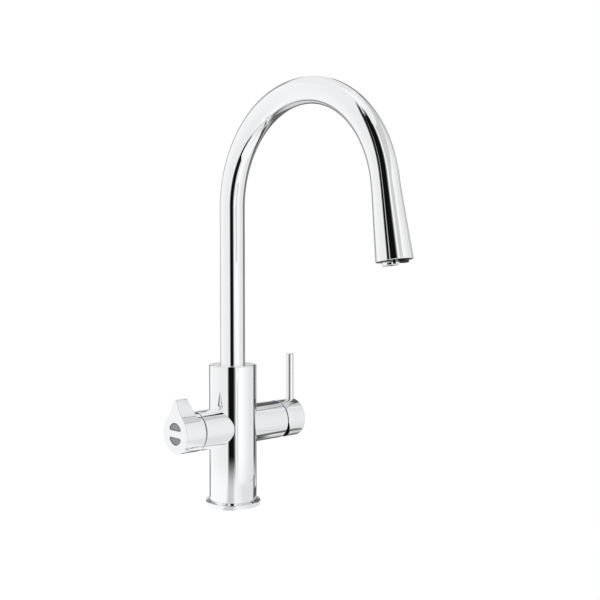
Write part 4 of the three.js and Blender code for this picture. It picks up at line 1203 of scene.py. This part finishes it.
@dataclass
class SelectorKnob:
    """The teardrop knob and the two half-moon buttons in its face."""

    start: float = 48.4
    end: float = 71.5
    face_back: float = 69.0
    radius: float = 19.8
    cavity: float = 17.4
    edge: float = 0.5
    back_edge: float = 0.35
    wing_height: float = 33.4
    tip: float = 2.6
    tip_degrees: float = 60.0
    tip_pull: float = 8.0
    foot_degrees: float = 42.0
    foot_pull: float = 6.0
    back_place: float = 54.5
    back_degrees: float = 76.5
    waist: float = 12.6
    grub_place: float = 54.0
    grub_hole: float = 2.1
    grub_depth: float = 4.0
    button: float = 10.7
    flat: float = 3.6
    corner: float = 1.6
    gap: float = 0.3
    lip: float = 0.25
    recess: float = 0.9
    dish: float = 0.25
    dish_edge: float = 0.97
    button_edge: float = 0.3
    flange: float = 1.4
    flange_front: float = 68.7
    flange_back: float = 66.9
    plunger: float = 1.5
    plunger_end: float = 64.3
    press: float = 1.5
    coil: float = 2.75
    coil_wire: float = 0.3
    coil_turns: int = 4
    coil_seat: float = 60.4
    coil_gap: float = 0.3
    window_centre: float = 7.2
    quarter: int = 72

    def tip_arc(self, turns: np.ndarray) -> np.ndarray:
        """Points of the wing's rounded tip, at angles from its top."""
        return [0.0, self.wing_height - self.tip] + circle_points(self.tip, math.pi / 2 - turns)

    def flank(self) -> np.ndarray:
        """The right flank from the round body up to the tip: a cubic curve with four pulls.

        Returns:
            Points of shape (n, 2).
        """
        foot, turn = math.radians(90 - self.foot_degrees), math.radians(self.tip_degrees)
        base = circle_points(self.radius, np.array([foot]))[0]
        base_pull = base + self.foot_pull * np.array([-math.sin(foot), math.cos(foot)])
        tip = self.tip_arc(np.array([turn]))[0]
        tip_pull = tip + self.tip_pull * np.array([math.cos(turn), -math.sin(turn)])
        t = np.linspace(0, 1, 400)[:, None]
        start = base * (1 - t) ** 3 + base_pull * 3 * t * (1 - t) ** 2
        return start + tip_pull * 3 * t * t * (1 - t) + tip * t**3

    def outline(self) -> np.ndarray:
        """The teardrop, anticlockwise from its lowest point.

        The right half is the round body's arc, the flank sampled evenly and the tip's arc. The
        left half mirrors it.

        Returns:
            Points of shape (n, 2).
        """
        foot, turn = math.radians(90 - self.foot_degrees), math.radians(self.tip_degrees)
        below = circle_points(self.radius, np.linspace(-math.pi / 2, 0, self.quarter + 1))
        beside = circle_points(self.radius, np.linspace(0, foot, 39))
        flank = spaced(self.flank(), np.linspace(0, 1, 44))
        tip = self.tip_arc(np.linspace(turn, 0, 15))
        right = np.concatenate([below[:-1], beside[:-1], flank, tip[1:]])
        return np.concatenate([right, (right * [-1, 1])[::-1][1:-1]])

    def back(self, y: np.ndarray) -> np.ndarray:
        """Where the wing's slanted back lies, always in front of the knob's back edge.

        The back is a line: its place at the round body's top plus (y - radius) / slope.

        Args:
            y: Heights from the axis, in mm.

        Returns:
            Places along the axis.
        """
        slope = math.tan(math.radians(self.back_degrees))
        slanted = self.back_place + (y - self.radius) / slope
        return np.maximum(self.start + self.back_edge + 0.1, slanted)

    def middle(self) -> np.ndarray:
        """The middle of the upper button, where its plunger and its spring stand."""
        return np.array([0.0, (self.button + self.flat) / 2])

    def window(self, grow: float) -> np.ndarray:
        """The upper half-moon's outline, grown by some millimetres on every side."""
        return half_moon(self.button + grow, self.flat - grow, self.corner + grow, 480)

    def knob(self) -> bpy.types.Object:
        """The knob: round body, wing, wall with the set screw's hole, rounded edges and face.

        The first rings follow the round body up to the wing's back, where they step out to the
        teardrop. On the round body both lines are the same. The face's windows are joined to the
        ring round them by rays from each window's centre.

        Returns:
            The piece.
        """
        place = SELECTOR_SIDE
        line = self.outline()
        inward = -normals_of(line)
        bearing = rays_to(line, np.zeros(2))
        waist, cavity = circle_points(self.waist, bearing), circle_points(self.cavity, bearing)
        wing = np.linalg.norm(line, axis=1) > self.radius + 1e-6
        body = np.where(wing[:, None], circle_points(self.radius, bearing), line)
        size = np.minimum(self.back_edge, 0.5 * np.linalg.norm(line - body, axis=1))
        rings = [(waist, self.face_back), (cavity, self.face_back), (cavity, self.start)]
        for aside, along in quarter_round(self.back_edge, 3):
            rings.append((body * (1 - aside / self.radius), self.start + along))
        rings.append((body, self.back(body[:, 1])))
        for aside, along in quarter_round(1.0, 3):
            ring = line + inward * (aside * size)[:, None]
            rings.append((ring, self.back(ring[:, 1]) + along * size))
        shell = Shell("selector_knob_skin").stacked(place, rings)
        hole = Bore(0, self.grub_place, self.grub_hole, self.grub_depth)
        low = rings[-1][1]
        rows = hole.rows(self.radius * (bearing[1] - bearing[0]))
        heights = [low] + [np.maximum(row, low) for row in rows]
        heights.append(np.full(len(line), self.end - self.edge - FLAT_MARGIN))
        wall = place.stack([(line, height) for height in heights])
        at_hole = np.array([height[hole.column] for height in heights])
        hole.cut(shell, place, self.radius, bearing, at_hole, wall)
        front = [(line, heights[-1])]
        for aside, below in quarter_round(self.edge, 8)[::-1]:
            front.append((line + inward * aside, self.end - below))
        front += [(line + inward * (self.edge + FLAT_MARGIN), self.end), (waist, self.end)]
        shell.stacked(place, front)
        left = int(np.argmin(np.abs(np.abs(bearing) - math.pi)))
        for side, border in zip((1, -1), halves(waist, self.quarter, left)):
            self.window_walls(shell, border, side)
        return shell.mesh()

    def window_walls(self, shell: Shell, border: np.ndarray, side: int) -> None:
        """Adds the face from a border to one window, the window's walls and the face's back.

        Args:
            shell: The knob's shell.
            border: The closed line round the window.
            side: 1 for the upper window, -1 for the lower one.
        """
        centre = np.array([0.0, self.window_centre * side])
        rays = rays_to(border, centre)
        rings = [(border, self.end)]
        for aside, along in quarter_round(self.lip, 4):
            outline = self.window(self.gap + aside) * [1, side]
            rings.append((polar(outline, centre, rays), self.end - along))
        rings += [(rings[-1][0], self.face_back), (border, self.face_back)]
        shell.stacked(SELECTOR_SIDE, rings)

    def push_button(self, name: str, side: int) -> bpy.types.Object:
        """A half-moon button: plunger, flange, cap with a rounded edge and a shallow dish.

        The dish lowers a point by dish * (1 - q^2), where q is its share of the way out.

        Args:
            name: The piece's name.
            side: 1 for the upper button, -1 for the lower one.

        Returns:
            The piece.
        """
        centre = self.middle()

        def moon(grow: float) -> np.ndarray:
            """The button's outline, grown by some mm. Its corners only follow where it shrinks."""
            corner = self.corner + min(grow, 0.0)
            return half_moon(self.button + grow, self.flat - grow, corner, 200)

        cap, wide = moon(0.0), moon(self.flange)
        post = centre + circle_points(self.plunger, rays_to(cap, centre))
        point = np.broadcast_to(centre, cap.shape)
        top = self.end - self.recess
        rings = [(point, self.plunger_end), (post, self.plunger_end), (post, self.flange_back)]
        rings += [(wide, self.flange_back), (wide, self.flange_front), (cap, self.flange_front)]
        for aside, below in quarter_round(self.button_edge)[::-1]:
            rings.append((moon(-aside), top - below))
        edge = rings[-1][0]
        for q in (self.dish_edge, 0.9, 0.8, 0.65, 0.45, 0.25, 0.0):
            depth = self.dish * (self.dish_edge**2 - q * q)
            rings.append((centre + (edge - centre) * q, top - depth))
        rings = [(line * [1, side], height) for line, height in rings]
        return Shell(name).stacked(SELECTOR_SIDE, rings).mesh()

    def spring(self, name: str, side: int) -> bpy.types.Object:
        """A button's spring: a round wire along a helix.

        The wire's centre is (r cos a, c + r sin a, low + pitch a). Its ring lies between the
        direction away from the helix's axis and that direction's cross product with the tangent.

        Args:
            name: The piece's name.
            side: 1 behind the upper button, -1 behind the lower one.

        Returns:
            The piece.
        """
        turns = np.linspace(0, TURN * self.coil_turns, 32 * self.coil_turns + 1)
        inset = self.coil_gap + self.coil_wire
        low, high = self.coil_seat + inset, self.flange_back - inset
        pitch = (high - low) / turns[-1]
        flat = np.zeros_like(turns)
        away = np.stack([np.cos(turns), np.sin(turns), flat], axis=-1)
        lift = flat + pitch / self.coil
        tangent = self.coil * np.stack([-np.sin(turns), np.cos(turns), lift], axis=-1)
        aside = np.cross(tangent / np.linalg.norm(tangent, axis=1, keepdims=True), away)
        rise = np.stack([flat, flat, pitch * turns], axis=-1)
        centre = [*self.middle(), low] + self.coil * away + rise
        ring = full_turn(12)[:, None]
        around = np.cos(ring) * away[:, None] + np.sin(ring) * aside[:, None]
        wire = centre[:, None] + self.coil_wire * around
        ends = [np.broadcast_to(centre[k], wire[:1].shape) for k in (0, -1)]
        x, y, z = np.moveaxis(np.concatenate([ends[0], wire, ends[1]]), -1, 0)
        return Shell(name).grid(SELECTOR_SIDE.points(x * side, y * side, z)).mesh()

    def build(self, shop: Workshop) -> None:
        """Builds and dresses the knob, the buttons and their springs.

        Args:
            shop: The workshop.
        """
        shop.dress(self.knob(), "chrome", "knob", "selector_knob")
        for side, name in ((1, "hot"), (-1, "cold")):
            piece = self.push_button(f"{name}_button_cap", side)
            shop.dress(piece, "grey_plastic", f"{name}_push", f"{name}_button")
            spring = self.spring(f"{name}_button_coil", side)
            shop.dress(spring, "steel", "knob", f"{name}_button_spring")
            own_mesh(spring)


# ---------------------------------------------------------------- the spout and its outlet


@dataclass
class Spout:
    """The bent tube with its flared end, and what is fitted in the end."""

    tube: float = 12.5
    wall: float = 1.5
    bottom: float = 122.1
    arch_start: float = 300.8
    arch_radius: float = 104.1
    sweep_degrees: float = 170.9
    end_length: float = 70.0
    outlet: float = 16.15
    outlet_wall: float = 1.05
    flare_start: float = 12.0
    plate_recess: float = 0.8
    plate: float = 6.0
    plate_slack: float = 0.08
    gap: float = 0.3
    aerator: float = 6.9
    aerator_wall: float = 1.3
    aerator_offset: float = -5.0
    aerator_drop: float = 3.3
    aerator_seat: float = 4.2
    shoulder: float = 1.3
    nozzle_offset: float = 10.3
    nozzle: float = 3.2
    nozzle_half: float = 1.5
    nozzle_drop: float = 3.1
    nozzle_edge: float = 0.8
    nozzle_bore: float = 1.1
    filtered_tube: float = 3.0
    barb_length: float = 6.5
    plate_chord: float = 4.55
    sweep: float = field(init=False)
    leg: float = field(init=False)
    arch: float = field(init=False)
    length: float = field(init=False)

    def __post_init__(self) -> None:
        """Works out the lengths of the leg, the arch and the whole path."""
        self.sweep = math.radians(self.sweep_degrees)
        self.leg = self.arch_start - self.bottom
        self.arch = self.arch_radius * self.sweep
        self.length = self.leg + self.arch + self.end_length

    def path(self, distance: np.ndarray) -> tuple[np.ndarray, np.ndarray, np.ndarray]:
        """Centre, outward direction and heading at distances along the centre line.

        Up the leg the heading is +Z. On the arch at angle a the outward direction is
        (0, cos a, sin a) and the heading (0, -sin a, cos a); after it both stay.

        Args:
            distance: Distances in mm from the tube's lower end.

        Returns:
            Three arrays of shape (n, 3).
        """
        past = distance - self.leg
        angle = np.clip(past / self.arch_radius, 0, self.sweep)
        flat = np.zeros_like(angle)
        outward = np.stack([flat, np.cos(angle), np.sin(angle)], axis=-1)
        heading = np.stack([flat, -np.sin(angle), np.cos(angle)], axis=-1)
        straight = (np.minimum(past, 0) + np.maximum(past - self.arch, 0))[:, None]
        hub = [0.0, -self.arch_radius, self.arch_start]
        return hub + self.arch_radius * outward + straight * heading, outward, heading

    def outside(self, distance: np.ndarray) -> np.ndarray:
        """The outer radius: the tube's, then growing at one slope after a soft start.

        Args:
            distance: Distances in mm from the tube's lower end.

        Returns:
            Radii in mm.
        """
        past = np.maximum(distance - self.leg - self.arch, 0)
        slope = (self.outlet - self.tube) / (self.end_length - self.flare_start / 2)
        soft = np.minimum(past, self.flare_start)
        straight = np.maximum(past - self.flare_start, 0)
        return self.tube + slope * (soft * soft / (2 * self.flare_start) + straight)

    def ringed(self, distance: np.ndarray, radius: np.ndarray, count: int) -> np.ndarray:
        """Rings round the centre line: centre + radius (across cos a + outward sin a).

        Args:
            distance: Places along the line.
            radius: The ring's radius at each place.
            count: Steps round a ring.

        Returns:
            Points of shape (n, count, 3).
        """
        centre, outward, _ = self.path(distance)
        angle = full_turn(count)
        across = np.array([1.0, 0.0, 0.0])
        ring = np.cos(angle)[:, None] * across + np.sin(angle)[:, None] * outward[:, None, :]
        return centre[:, None, :] + radius[:, None, None] * ring

    def tube_skin(self) -> bpy.types.Object:
        """The tube's outside, its rounded rim and its inside, as one closed wall.

        Returns:
            The piece.
        """
        tip = self.length
        leg = np.array([0.0, 0.4, self.leg * 0.5, self.leg - 1.0])
        arch = self.leg + np.linspace(0, self.arch, 241)
        end = self.leg + self.arch + np.linspace(0, self.end_length - 1.0, 47)[1:]
        outer = np.concatenate([leg, arch, end])
        mouth = self.outlet - self.outlet_wall
        rim = filleted(
            [
                (tip - 2.0, float(self.outside(np.array([tip - 2.0]))[0]), 0),
                (tip, self.outlet, 0.55),
                (tip, mouth, 0.25),
                (tip - 3.0, mouth - 0.05, 0),
            ]
        )[1:]
        bend = self.leg + np.linspace(self.arch, 0, 61)
        inner = np.concatenate([[tip - 8.0], bend, [0.0]])
        share = np.clip((inner - tip + self.end_length) / self.end_length, 0, 1)
        thick = self.wall + (self.outlet_wall - self.wall) * share
        outside = np.stack([outer, self.outside(outer)], axis=-1)
        inside = np.stack([inner, self.outside(inner) - thick], axis=-1)
        profile = np.concatenate([outside, rim, inside])
        points = self.ringed(profile[:, 0], profile[:, 1], 128)
        return Shell("spout_tube_skin").grid(points, loop=True).mesh()

    def outlet_place(self, shift: float = 0.0) -> Place:
        """The outlet's frame: out points downstream and up points to the front.

        Args:
            shift: How far the origin lies up from the centre line, in mm.

        Returns:
            The frame.
        """
        centre, outward, heading = (part[0] for part in self.path(np.array([self.length])))
        return Place(tuple(centre + shift * outward), (1, 0, 0), tuple(outward), tuple(heading))

    def stadium(self, radius: float) -> np.ndarray:
        """The nozzle's oblong outline: a circle whose two halves are moved apart.

        Args:
            radius: Radius of its ends, in mm.

        Returns:
            Points of shape (480, 2).
        """
        angle = full_turn(480)
        shift = np.stack([self.nozzle_half * np.sign(np.cos(angle)), 0 * angle], axis=-1)
        return self.round(radius) + shift

    @staticmethod
    def round(radius: float) -> np.ndarray:
        """A circle with as many points as the oblong outline."""
        return circle_points(radius, full_turn(480))

    def plate_face(self) -> bpy.types.Object:
        """The black underside: a plate with a round seat for the aerator and an oblong hole.

        Returns:
            The piece.
        """
        place = self.outlet_place()
        top, bottom = -self.plate_recess, -self.plate_recess - self.plate
        low = self.outlet - self.outlet_wall - self.plate_slack - self.gap
        chord = math.asin(self.plate_chord / low)
        right = np.linspace(-math.pi - chord, chord, 121)
        left = np.linspace(chord, math.pi - chord, 61)
        angles = np.concatenate([right[:-1], left[:-1]])
        border = circle_points(low - 0.5, angles)
        shell = Shell("outlet_plate_face")
        rim = [(0.35, bottom), (0.0, top - 0.4), (0.12, top - 0.12), (0.4, top)]
        rings = [(circle_points(low - inset, angles), height) for inset, height in rim]
        shell.stacked(place, [(border, bottom), *rings, (border, top)])
        for oblong, line in zip((False, True), halves(border, 0, 120)):
            centre = np.array([0.0, self.nozzle_offset if oblong else self.aerator_offset])
            shape = self.stadium if oblong else self.round
            radius = (self.nozzle if oblong else self.aerator) + self.gap
            rays = rays_to(line, centre)
            rings = [(line, top)]
            for aside, along in quarter_round(0.2, 3):
                rings.append((polar(shape(radius + aside) + centre, centre, rays), top - along))
            if not oblong:
                seat = -self.aerator_seat - 1.6
                narrow = polar(shape(self.aerator - self.shoulder) + centre, centre, rays)
                rings += [(rings[-1][0], seat), (narrow, seat)]
            rings += [(rings[-1][0], bottom), (line, bottom)]
            shell.stacked(place, rings)
        return shell.mesh()

    def aerator_ring(self) -> bpy.types.Object:
        """The bright ring under the plate: a tube with rounded edges and a stepped mouth.

        Returns:
            The piece.
        """
        inner, outer = self.aerator - self.aerator_wall, self.aerator
        drop, back = self.aerator_drop, -self.aerator_seat
        profile = filleted(
            [
                (inner, back, 0),
                (outer, back, 0.2),
                (outer, drop, 0.5),
                (inner + 0.45, drop, 0.2),
                (inner + 0.45, drop - 0.5, 0),
                (inner, drop - 0.5, 0.1),
            ],
            closed=True,
        )
        place = self.outlet_place(self.aerator_offset)
        return Shell("aerator_shell_ring").turned(place, profile, 144, loop=True).mesh()

    def nozzle_piece(self) -> bpy.types.Object:
        """The oblong nozzle: barb, flange, body with a rounded mouth, and a bore right through.

        Returns:
            The piece.
        """
        back = -self.plate_recess - self.plate - self.gap
        barb = back - self.barb_length
        step = back - 1.5
        rays = full_turn(144)

        def ring(radius: float, oblong: bool = True) -> np.ndarray:
            """A ring of the nozzle on the rays.

            Args:
                radius: Its radius, or that of its ends, in mm.
                oblong: False for a round ring.

            Returns:
                Points of shape (144, 2).
            """
            if oblong:
                return polar(self.stadium(radius), np.zeros(2), rays)
            return circle_points(radius, rays)

        stem = ring(self.filtered_tube - 1.0, False)
        wide, body = ring(self.nozzle + 0.6), ring(self.nozzle)
        shoulder = self.nozzle_drop - self.nozzle_edge - FLAT_MARGIN
        rings = [(ring(self.nozzle_bore, False), barb), (stem, barb), (stem, step)]
        rings += [(wide, step), (wide, back), (body, back), (body, shoulder)]
        for aside, below in quarter_round(self.nozzle_edge, 7)[::-1]:
            rings.append((ring(self.nozzle - aside), self.nozzle_drop - below))
        for aside, along in quarter_round(0.25, 3):
            rings.append((ring(self.nozzle_bore + aside, False), self.nozzle_drop - along))
        place = self.outlet_place(self.nozzle_offset)
        return Shell("filtered_nozzle_tip").stacked(place, rings, loop=True).mesh()

    def build(self, shop: Workshop) -> None:
        """Builds and dresses the spout's pieces.

        Args:
            shop: The workshop.
        """
        shop.dress(self.tube_skin(), "chrome", "spout", "spout_tube")
        shop.dress(self.plate_face(), "black_plastic", "spout", "outlet_plate")
        shop.dress(self.aerator_ring(), "chrome", "spout", "aerator_shell")
        shop.dress(self.nozzle_piece(), "rubber", "spout", "filtered_nozzle")


# ---------------------------------------------------------------- pieces that keep their shape


class InnerPieces:
    """The pieces inside, which keep the CAD's shape and get their materials."""

    slots = {
        "brass": "base_plug waterway_core mixer_stem selector_valve_housing selector_valve_nut"
        " selector_spindle knob_hub spout_foot",
        "steel": "core_screw_left core_screw_right mixer_tilt_pin mixer_grub_screw"
        " knob_grub_screw spout_retaining_clip swivel_stop_screw",
        "ceramic": "mixer_fixed_disc mixer_moving_disc selector_fixed_disc selector_moving_disc",
        "black_plastic": "mixer_cartridge_base selector_valve_base mixer_cartridge_nut"
        " mixer_turn_carrier",
        "pale_plastic": "mixer_cartridge_housing mixer_disc_slider lower_swivel_bush"
        " upper_swivel_bush filtered_water_tube",
        "grey_plastic": "aerator_insert",
        "board": "button_switch_plate",
        "rubber": "base_seal mixer_port_gasket selector_port_gasket lower_spout_oring"
        " upper_spout_oring aerator_seal filtered_tube_oring",
    }

    def build(self, shop: Workshop) -> None:
        """Dresses each kept node.

        Args:
            shop: The workshop.
        """
        for slot, nodes in self.slots.items():
            for node in nodes.split():
                shop.keep(node, slot)


# ---------------------------------------------------------------- the studio


@dataclass(frozen=True)
class Card:
    """A curved glowing card round the tap, from one bearing and height to another.

    Bearings are in degrees from the camera's side, sizes in metres. The levels are pairs of a
    bearing and a grey level of 0 to 255.
    """

    name: str
    radius: float
    heights: tuple[float, float]
    turn: tuple[float, float]
    window: bool
    levels: tuple[tuple[float, float], ...]


NEAR_CARD = Card(
    "near_card", 0.40, (-0.5, 3.0), (118.0, 352.0), True,
    (
        (-180, 208), (-167, 214), (-160, 150), (-150, 96), (-144, 119), (-139, 246), (-92, 242),
        (-62, 236), (-31, 234), (-26, 240), (-23.5, 190), (-21, 98), (-18.5, 40), (-16, 12),
        (100, 12), (118, 90), (120, 71), (131, 71), (135, 143), (138, 190), (142, 150),
        (148, 96), (160, 104), (168, 200), (180, 208),
    ),
)  # fmt: skip
FAR_CARD = Card(
    "far_card", 3.0, (-2.5, 12.0), (-180.0, 180.0), False,
    (
        (-180, 200), (-34, 200), (-30, 14), (2.4, 16), (7, 80), (12, 189), (16, 250), (41, 254),
        (68, 239), (100, 222), (107, 240), (114, 205), (122, 195), (180, 195),
    ),
)  # fmt: skip
FLOOR_LEVELS = (
    (-180, 100), (-136, 100), (-128, 252), (-28, 246), (-19, 200), (-2, 200), (8, 240),
    (30, 244), (70, 226), (100, 222), (130, 205), (144, 100), (180, 100),
)  # fmt: skip


@dataclass
class Studio:
    """A pale floor, a white surround, soft lamps, two curved cards round the tap and the camera.

    The cards are seen only in reflections. Levels are the grey levels of 0 to 255 that polished
    chrome shows. They follow the bearing from the tap, counted from the camera's side, and the
    angle above the tap's foot.
    """

    bearing: float = -128.5
    horizon: float = 0.12
    softbox: float = 114.0
    column: float = 0.0238
    lamp_energy: float = 8.8
    lens: float = 56.2447
    camera_place: tuple[float, float, float] = (-0.592957, -0.743699, 0.249494)
    camera_dip: float = 2.488
    camera_turn: float = -42.684

    def sheet(
        self, name: str, points: np.ndarray, material: bpy.types.Material
    ) -> bpy.types.Object:
        """Adds a smooth open sheet to the stage.

        Args:
            name: The object's name.
            points: Grid of shape (rows, columns, 3), in metres.
            material: Its material.

        Returns:
            The object.
        """
        index = np.arange(points.shape[0] * points.shape[1]).reshape(points.shape[:2])
        data = bpy.data.meshes.new(name)
        data.from_pydata(points.reshape(-1, 3).tolist(), [], cells(index).tolist())
        data.shade_smooth()
        data.materials.append(material)
        made = bpy.data.objects.new(name, data)
        bpy.context.scene.collection.objects.link(made)
        made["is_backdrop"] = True
        return made

    def card(self, card: Card) -> None:
        """Adds a card: points (radius cos a, radius sin a, height) between two bearings.

        Args:
            card: What it is like.
        """
        angles = np.radians(self.bearing + np.linspace(*card.turn, 241))
        height, angle = np.meshgrid(np.linspace(*card.heights, 9), angles, indexing="ij")
        ring = card.radius * np.cos(angle), card.radius * np.sin(angle)
        points = np.stack([*ring, height], axis=-1)
        made = self.sheet(card.name, points, self.card_material(card))
        made.visible_camera = made.visible_diffuse = made.visible_shadow = False

    def compass(self, graph: Graph, levels: tuple) -> tuple[Signal, Signal, Signal]:
        """The bearing, the distance from the tap's axis and the level at the bearing.

        The bearing is atan2 of the parts aside of and along the direction to the camera. A ramp
        over it holds the levels.

        Args:
            graph: The material's graph.
            levels: Pairs of a bearing in degrees and a level.

        Returns:
            The bearing in degrees, the distance in metres and the level.
        """
        x, y, _ = graph.place()
        turn = math.radians(self.bearing)
        ahead = x * math.cos(turn) + y * math.sin(turn)
        aside = y * math.cos(turn) - x * math.sin(turn)
        bearing = graph.math("ARCTAN2", aside, ahead) * DEGREES
        stops = {"stops": [((degrees + 180) / 360, tone(level)) for degrees, level in levels]}
        ramp = graph.node("ShaderNodeValToRGB", stops, {"Fac": bearing / 360 + 0.5}, "Color")
        level = graph.node("ShaderNodeSeparateColor", {}, {0: ramp}, 0)
        return bearing, graph.math("SQRT", x * x + y * y), level

    def card_material(self, card: Card) -> bpy.types.Material:
        """A glowing material: the card's levels, with greyer and brighter fields laid over them.

        The softbox on the right has a straight lower edge: height / distance / cos of the turn
        from the softbox's middle is the same all along it. A dark line runs under its stripe.
        The window lets the far card show through the near one.

        Args:
            card: The card.

        Returns:
            The material.
        """
        made = bpy.data.materials.new(card.name)
        graph = Graph(made)
        bearing, distance, level = self.compass(graph, card.levels)
        height = graph.place()[2] - self.horizon
        rise = graph.math("ARCTAN2", height, distance) * DEGREES
        turned = (bearing - self.softbox) / DEGREES
        edge = height / distance / graph.math("COSINE", turned)
        right = bearing.band(20, 153, 2)
        slit = bearing.band(-22, 6, 4)
        beyond = rise + graph.math("MAXIMUM", bearing - 140, 0.0) * 0.6
        level = level.painted(
            (165, (1 - bearing.step(-141, 8)) * rise.step(18, 10)),
            (90, bearing.step(147, 3) * rise.step(15, 6)),
            (40, right * edge.band(1.15, 1.17, 0.01)),
            (204, right * edge.step(1.17, 0.01)),
            (236, rise.step(60, 2) * (1 - slit) + rise.step(71, 14) * slit),
            (228, bearing.step(128, 2) * beyond.step(56, 4)),
        )
        surface = graph.glow(level)
        if card.window:
            end = 1 - (bearing - rise.step(48, 4) * 6).step(150, 1)
            window = bearing.step(60, 2) * end * rise.band(34, 59, 1)
            surface = graph.blend(window, surface, graph.node("ShaderNodeBsdfTransparent"))
        graph.finish(surface)
        made.cycles.emission_sampling = "NONE"
        return made

    def foot_edges(self, graph: Graph, bearing: Signal, distance: Signal) -> tuple:
        """Dark fields on the floor behind the column, which its two edges mirror at the foot.

        A ray that grazes the column runs on beside its axis. Where it meets the floor, its own
        bearing differs from the place's by asin(radius of the column / distance).

        Args:
            graph: The floor's graph.
            bearing: The place's bearing in degrees.
            distance: Its distance from the axis in metres.

        Returns:
            Two layers, for the right and the left edge.
        """
        turn = graph.math("ARCSINE", self.column / distance) * DEGREES
        near = distance.band(0.046, 0.15, 0.02)
        heading = bearing + turn
        within = 1 - heading.step(131, 2) * distance.step(0.09, 0.02)
        right = heading.band(119, 160, 3) * within * bearing.step(40, 2) * near
        left = (1 - (bearing - turn).step(-144, 3)) * (1 - bearing.step(-80, 2)) * near
        return (92, right), (104, left)

    def floor_material(self) -> bpy.types.Material:
        """The floor: pale with the tap's shadow, fading into the white round it.

        In reflections it shows its levels near the tap, a little greyer beside the mixer, with
        a thin line there and dark fields behind the column.

        Returns:
            The material.
        """
        made = bpy.data.materials.new("floor")
        graph = Graph(made)
        bearing, distance, level = self.compass(graph, FLOOR_LEVELS)
        level = level.painted(
            (222, bearing.band(30, 134, 40) * (1 - distance.step(0.128, 0.03))),
            (160, bearing.band(84, 102, 4) * distance.band(0.130, 0.134, 0.001)),
            *self.foot_edges(graph, bearing, distance),
        )
        camera, mirror = graph.ray("Camera"), graph.ray("Glossy")
        opaque = camera * (1 - distance.step(0.25, 0.26))
        opaque = opaque + mirror * (1 - distance.step(0.185, 0.19)) + graph.ray("Diffuse")
        pale = graph.node("ShaderNodeBsdfDiffuse", {}, {"Color": (0.86, 0.86, 0.86, 1.0)})
        lit = graph.node("ShaderNodeAddShader", {}, {0: pale, 1: graph.glow(camera * 0.46)})
        shown = graph.blend(mirror, lit, graph.glow(level))
        graph.finish(graph.blend(opaque, graph.node("ShaderNodeBsdfTransparent"), shown))
        made.cycles.emission_sampling = "NONE"
        return made

    def floor(self) -> None:
        """Adds the floor: a flat disc with the points (r cos a, r sin a, 0)."""
        turns = np.linspace(0, TURN, 97)
        radius, angle = np.meshgrid([0.0, 0.1, 0.3, 0.8, 6.0], turns, indexing="ij")
        points = np.stack([radius * np.cos(angle), radius * np.sin(angle), 0 * radius], axis=-1)
        self.sheet("floor", points[:, ::-1], self.floor_material())

    def world(self) -> None:
        """Sets a white world, a little dimmer as a light than as a background."""
        world = bpy.data.worlds.new("studio")
        bpy.context.scene.world = world
        graph = Graph(world)
        seen = graph.ray("Camera") + graph.ray("Glossy") + graph.ray("Transmission")
        strength = graph.math("MINIMUM", seen, 1.0) * 0.45 + 0.55
        values = {"Color": (1, 1, 1, 1), "Strength": strength}
        graph.finish(graph.node("ShaderNodeBackground", {}, values), "World")

    def lamps(self) -> None:
        """Adds two soft lamps that light the pale parts and don't show in the chrome."""
        for name, place, share in (
            ("key_lamp", (-0.7, -0.9, 1.3), 1.0),
            ("fill_lamp", (1.0, -0.5, 1.1), 0.7),
        ):
            data = bpy.data.lights.new(name, "AREA")
            data.shape = "SQUARE"
            data.size = 0.9
            data.energy = self.lamp_energy * share
            lamp = bpy.data.objects.new(name, data)
            lamp.location = place
            aim = Vector((0, 0, 0.15)) - Vector(place)
            lamp.rotation_euler = aim.to_track_quat("-Z", "Y").to_euler()
            lamp.visible_glossy = False
            bpy.context.scene.collection.objects.link(lamp)

    def camera(self) -> None:
        """Adds the camera at the photograph's place, looking down by 2.5 degrees."""
        data = bpy.data.cameras.new("camera")
        data.lens = self.lens
        data.sensor_width = 36.0
        camera = bpy.data.objects.new("camera", data)
        camera.location = self.camera_place
        turn = math.radians(self.camera_turn)
        camera.rotation_euler = (math.radians(90 - self.camera_dip), 0.0, turn)
        bpy.context.scene.collection.objects.link(camera)
        bpy.context.scene.camera = camera

    def build(self) -> None:
        """Builds the whole studio."""
        self.camera()
        self.card(NEAR_CARD)
        self.card(FAR_CARD)
        self.floor()
        self.world()
        self.lamps()
        bpy.context.scene.view_settings.view_transform = "Standard"
        log.info("studio: floor, two cards, lamps and camera")


# ---------------------------------------------------------------- the whole tap


def corners(box: tuple) -> list[list[float]]:
    """A box's two corners as plain lists of numbers."""
    return [[float(value) for value in corner] for corner in box]


def main() -> None:
    """Loads the frame, builds every sub-assembly in order and works out the bounds twice."""
    logging.basicConfig(level=logging.INFO, format="%(name)s: %(message)s")
    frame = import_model()
    cad_box = corners(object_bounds())
    shop = Workshop(frame)
    Studio().build()
    for assembly in (Column(), MixerLever(), SelectorKnob(), Spout(), InnerPieces()):
        assembly.build(shop)
        log.info("%s done", type(assembly).__name__)
    {"cad": cad_box, "visual": corners(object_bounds())}


if __name__ == "__main__":
    main()
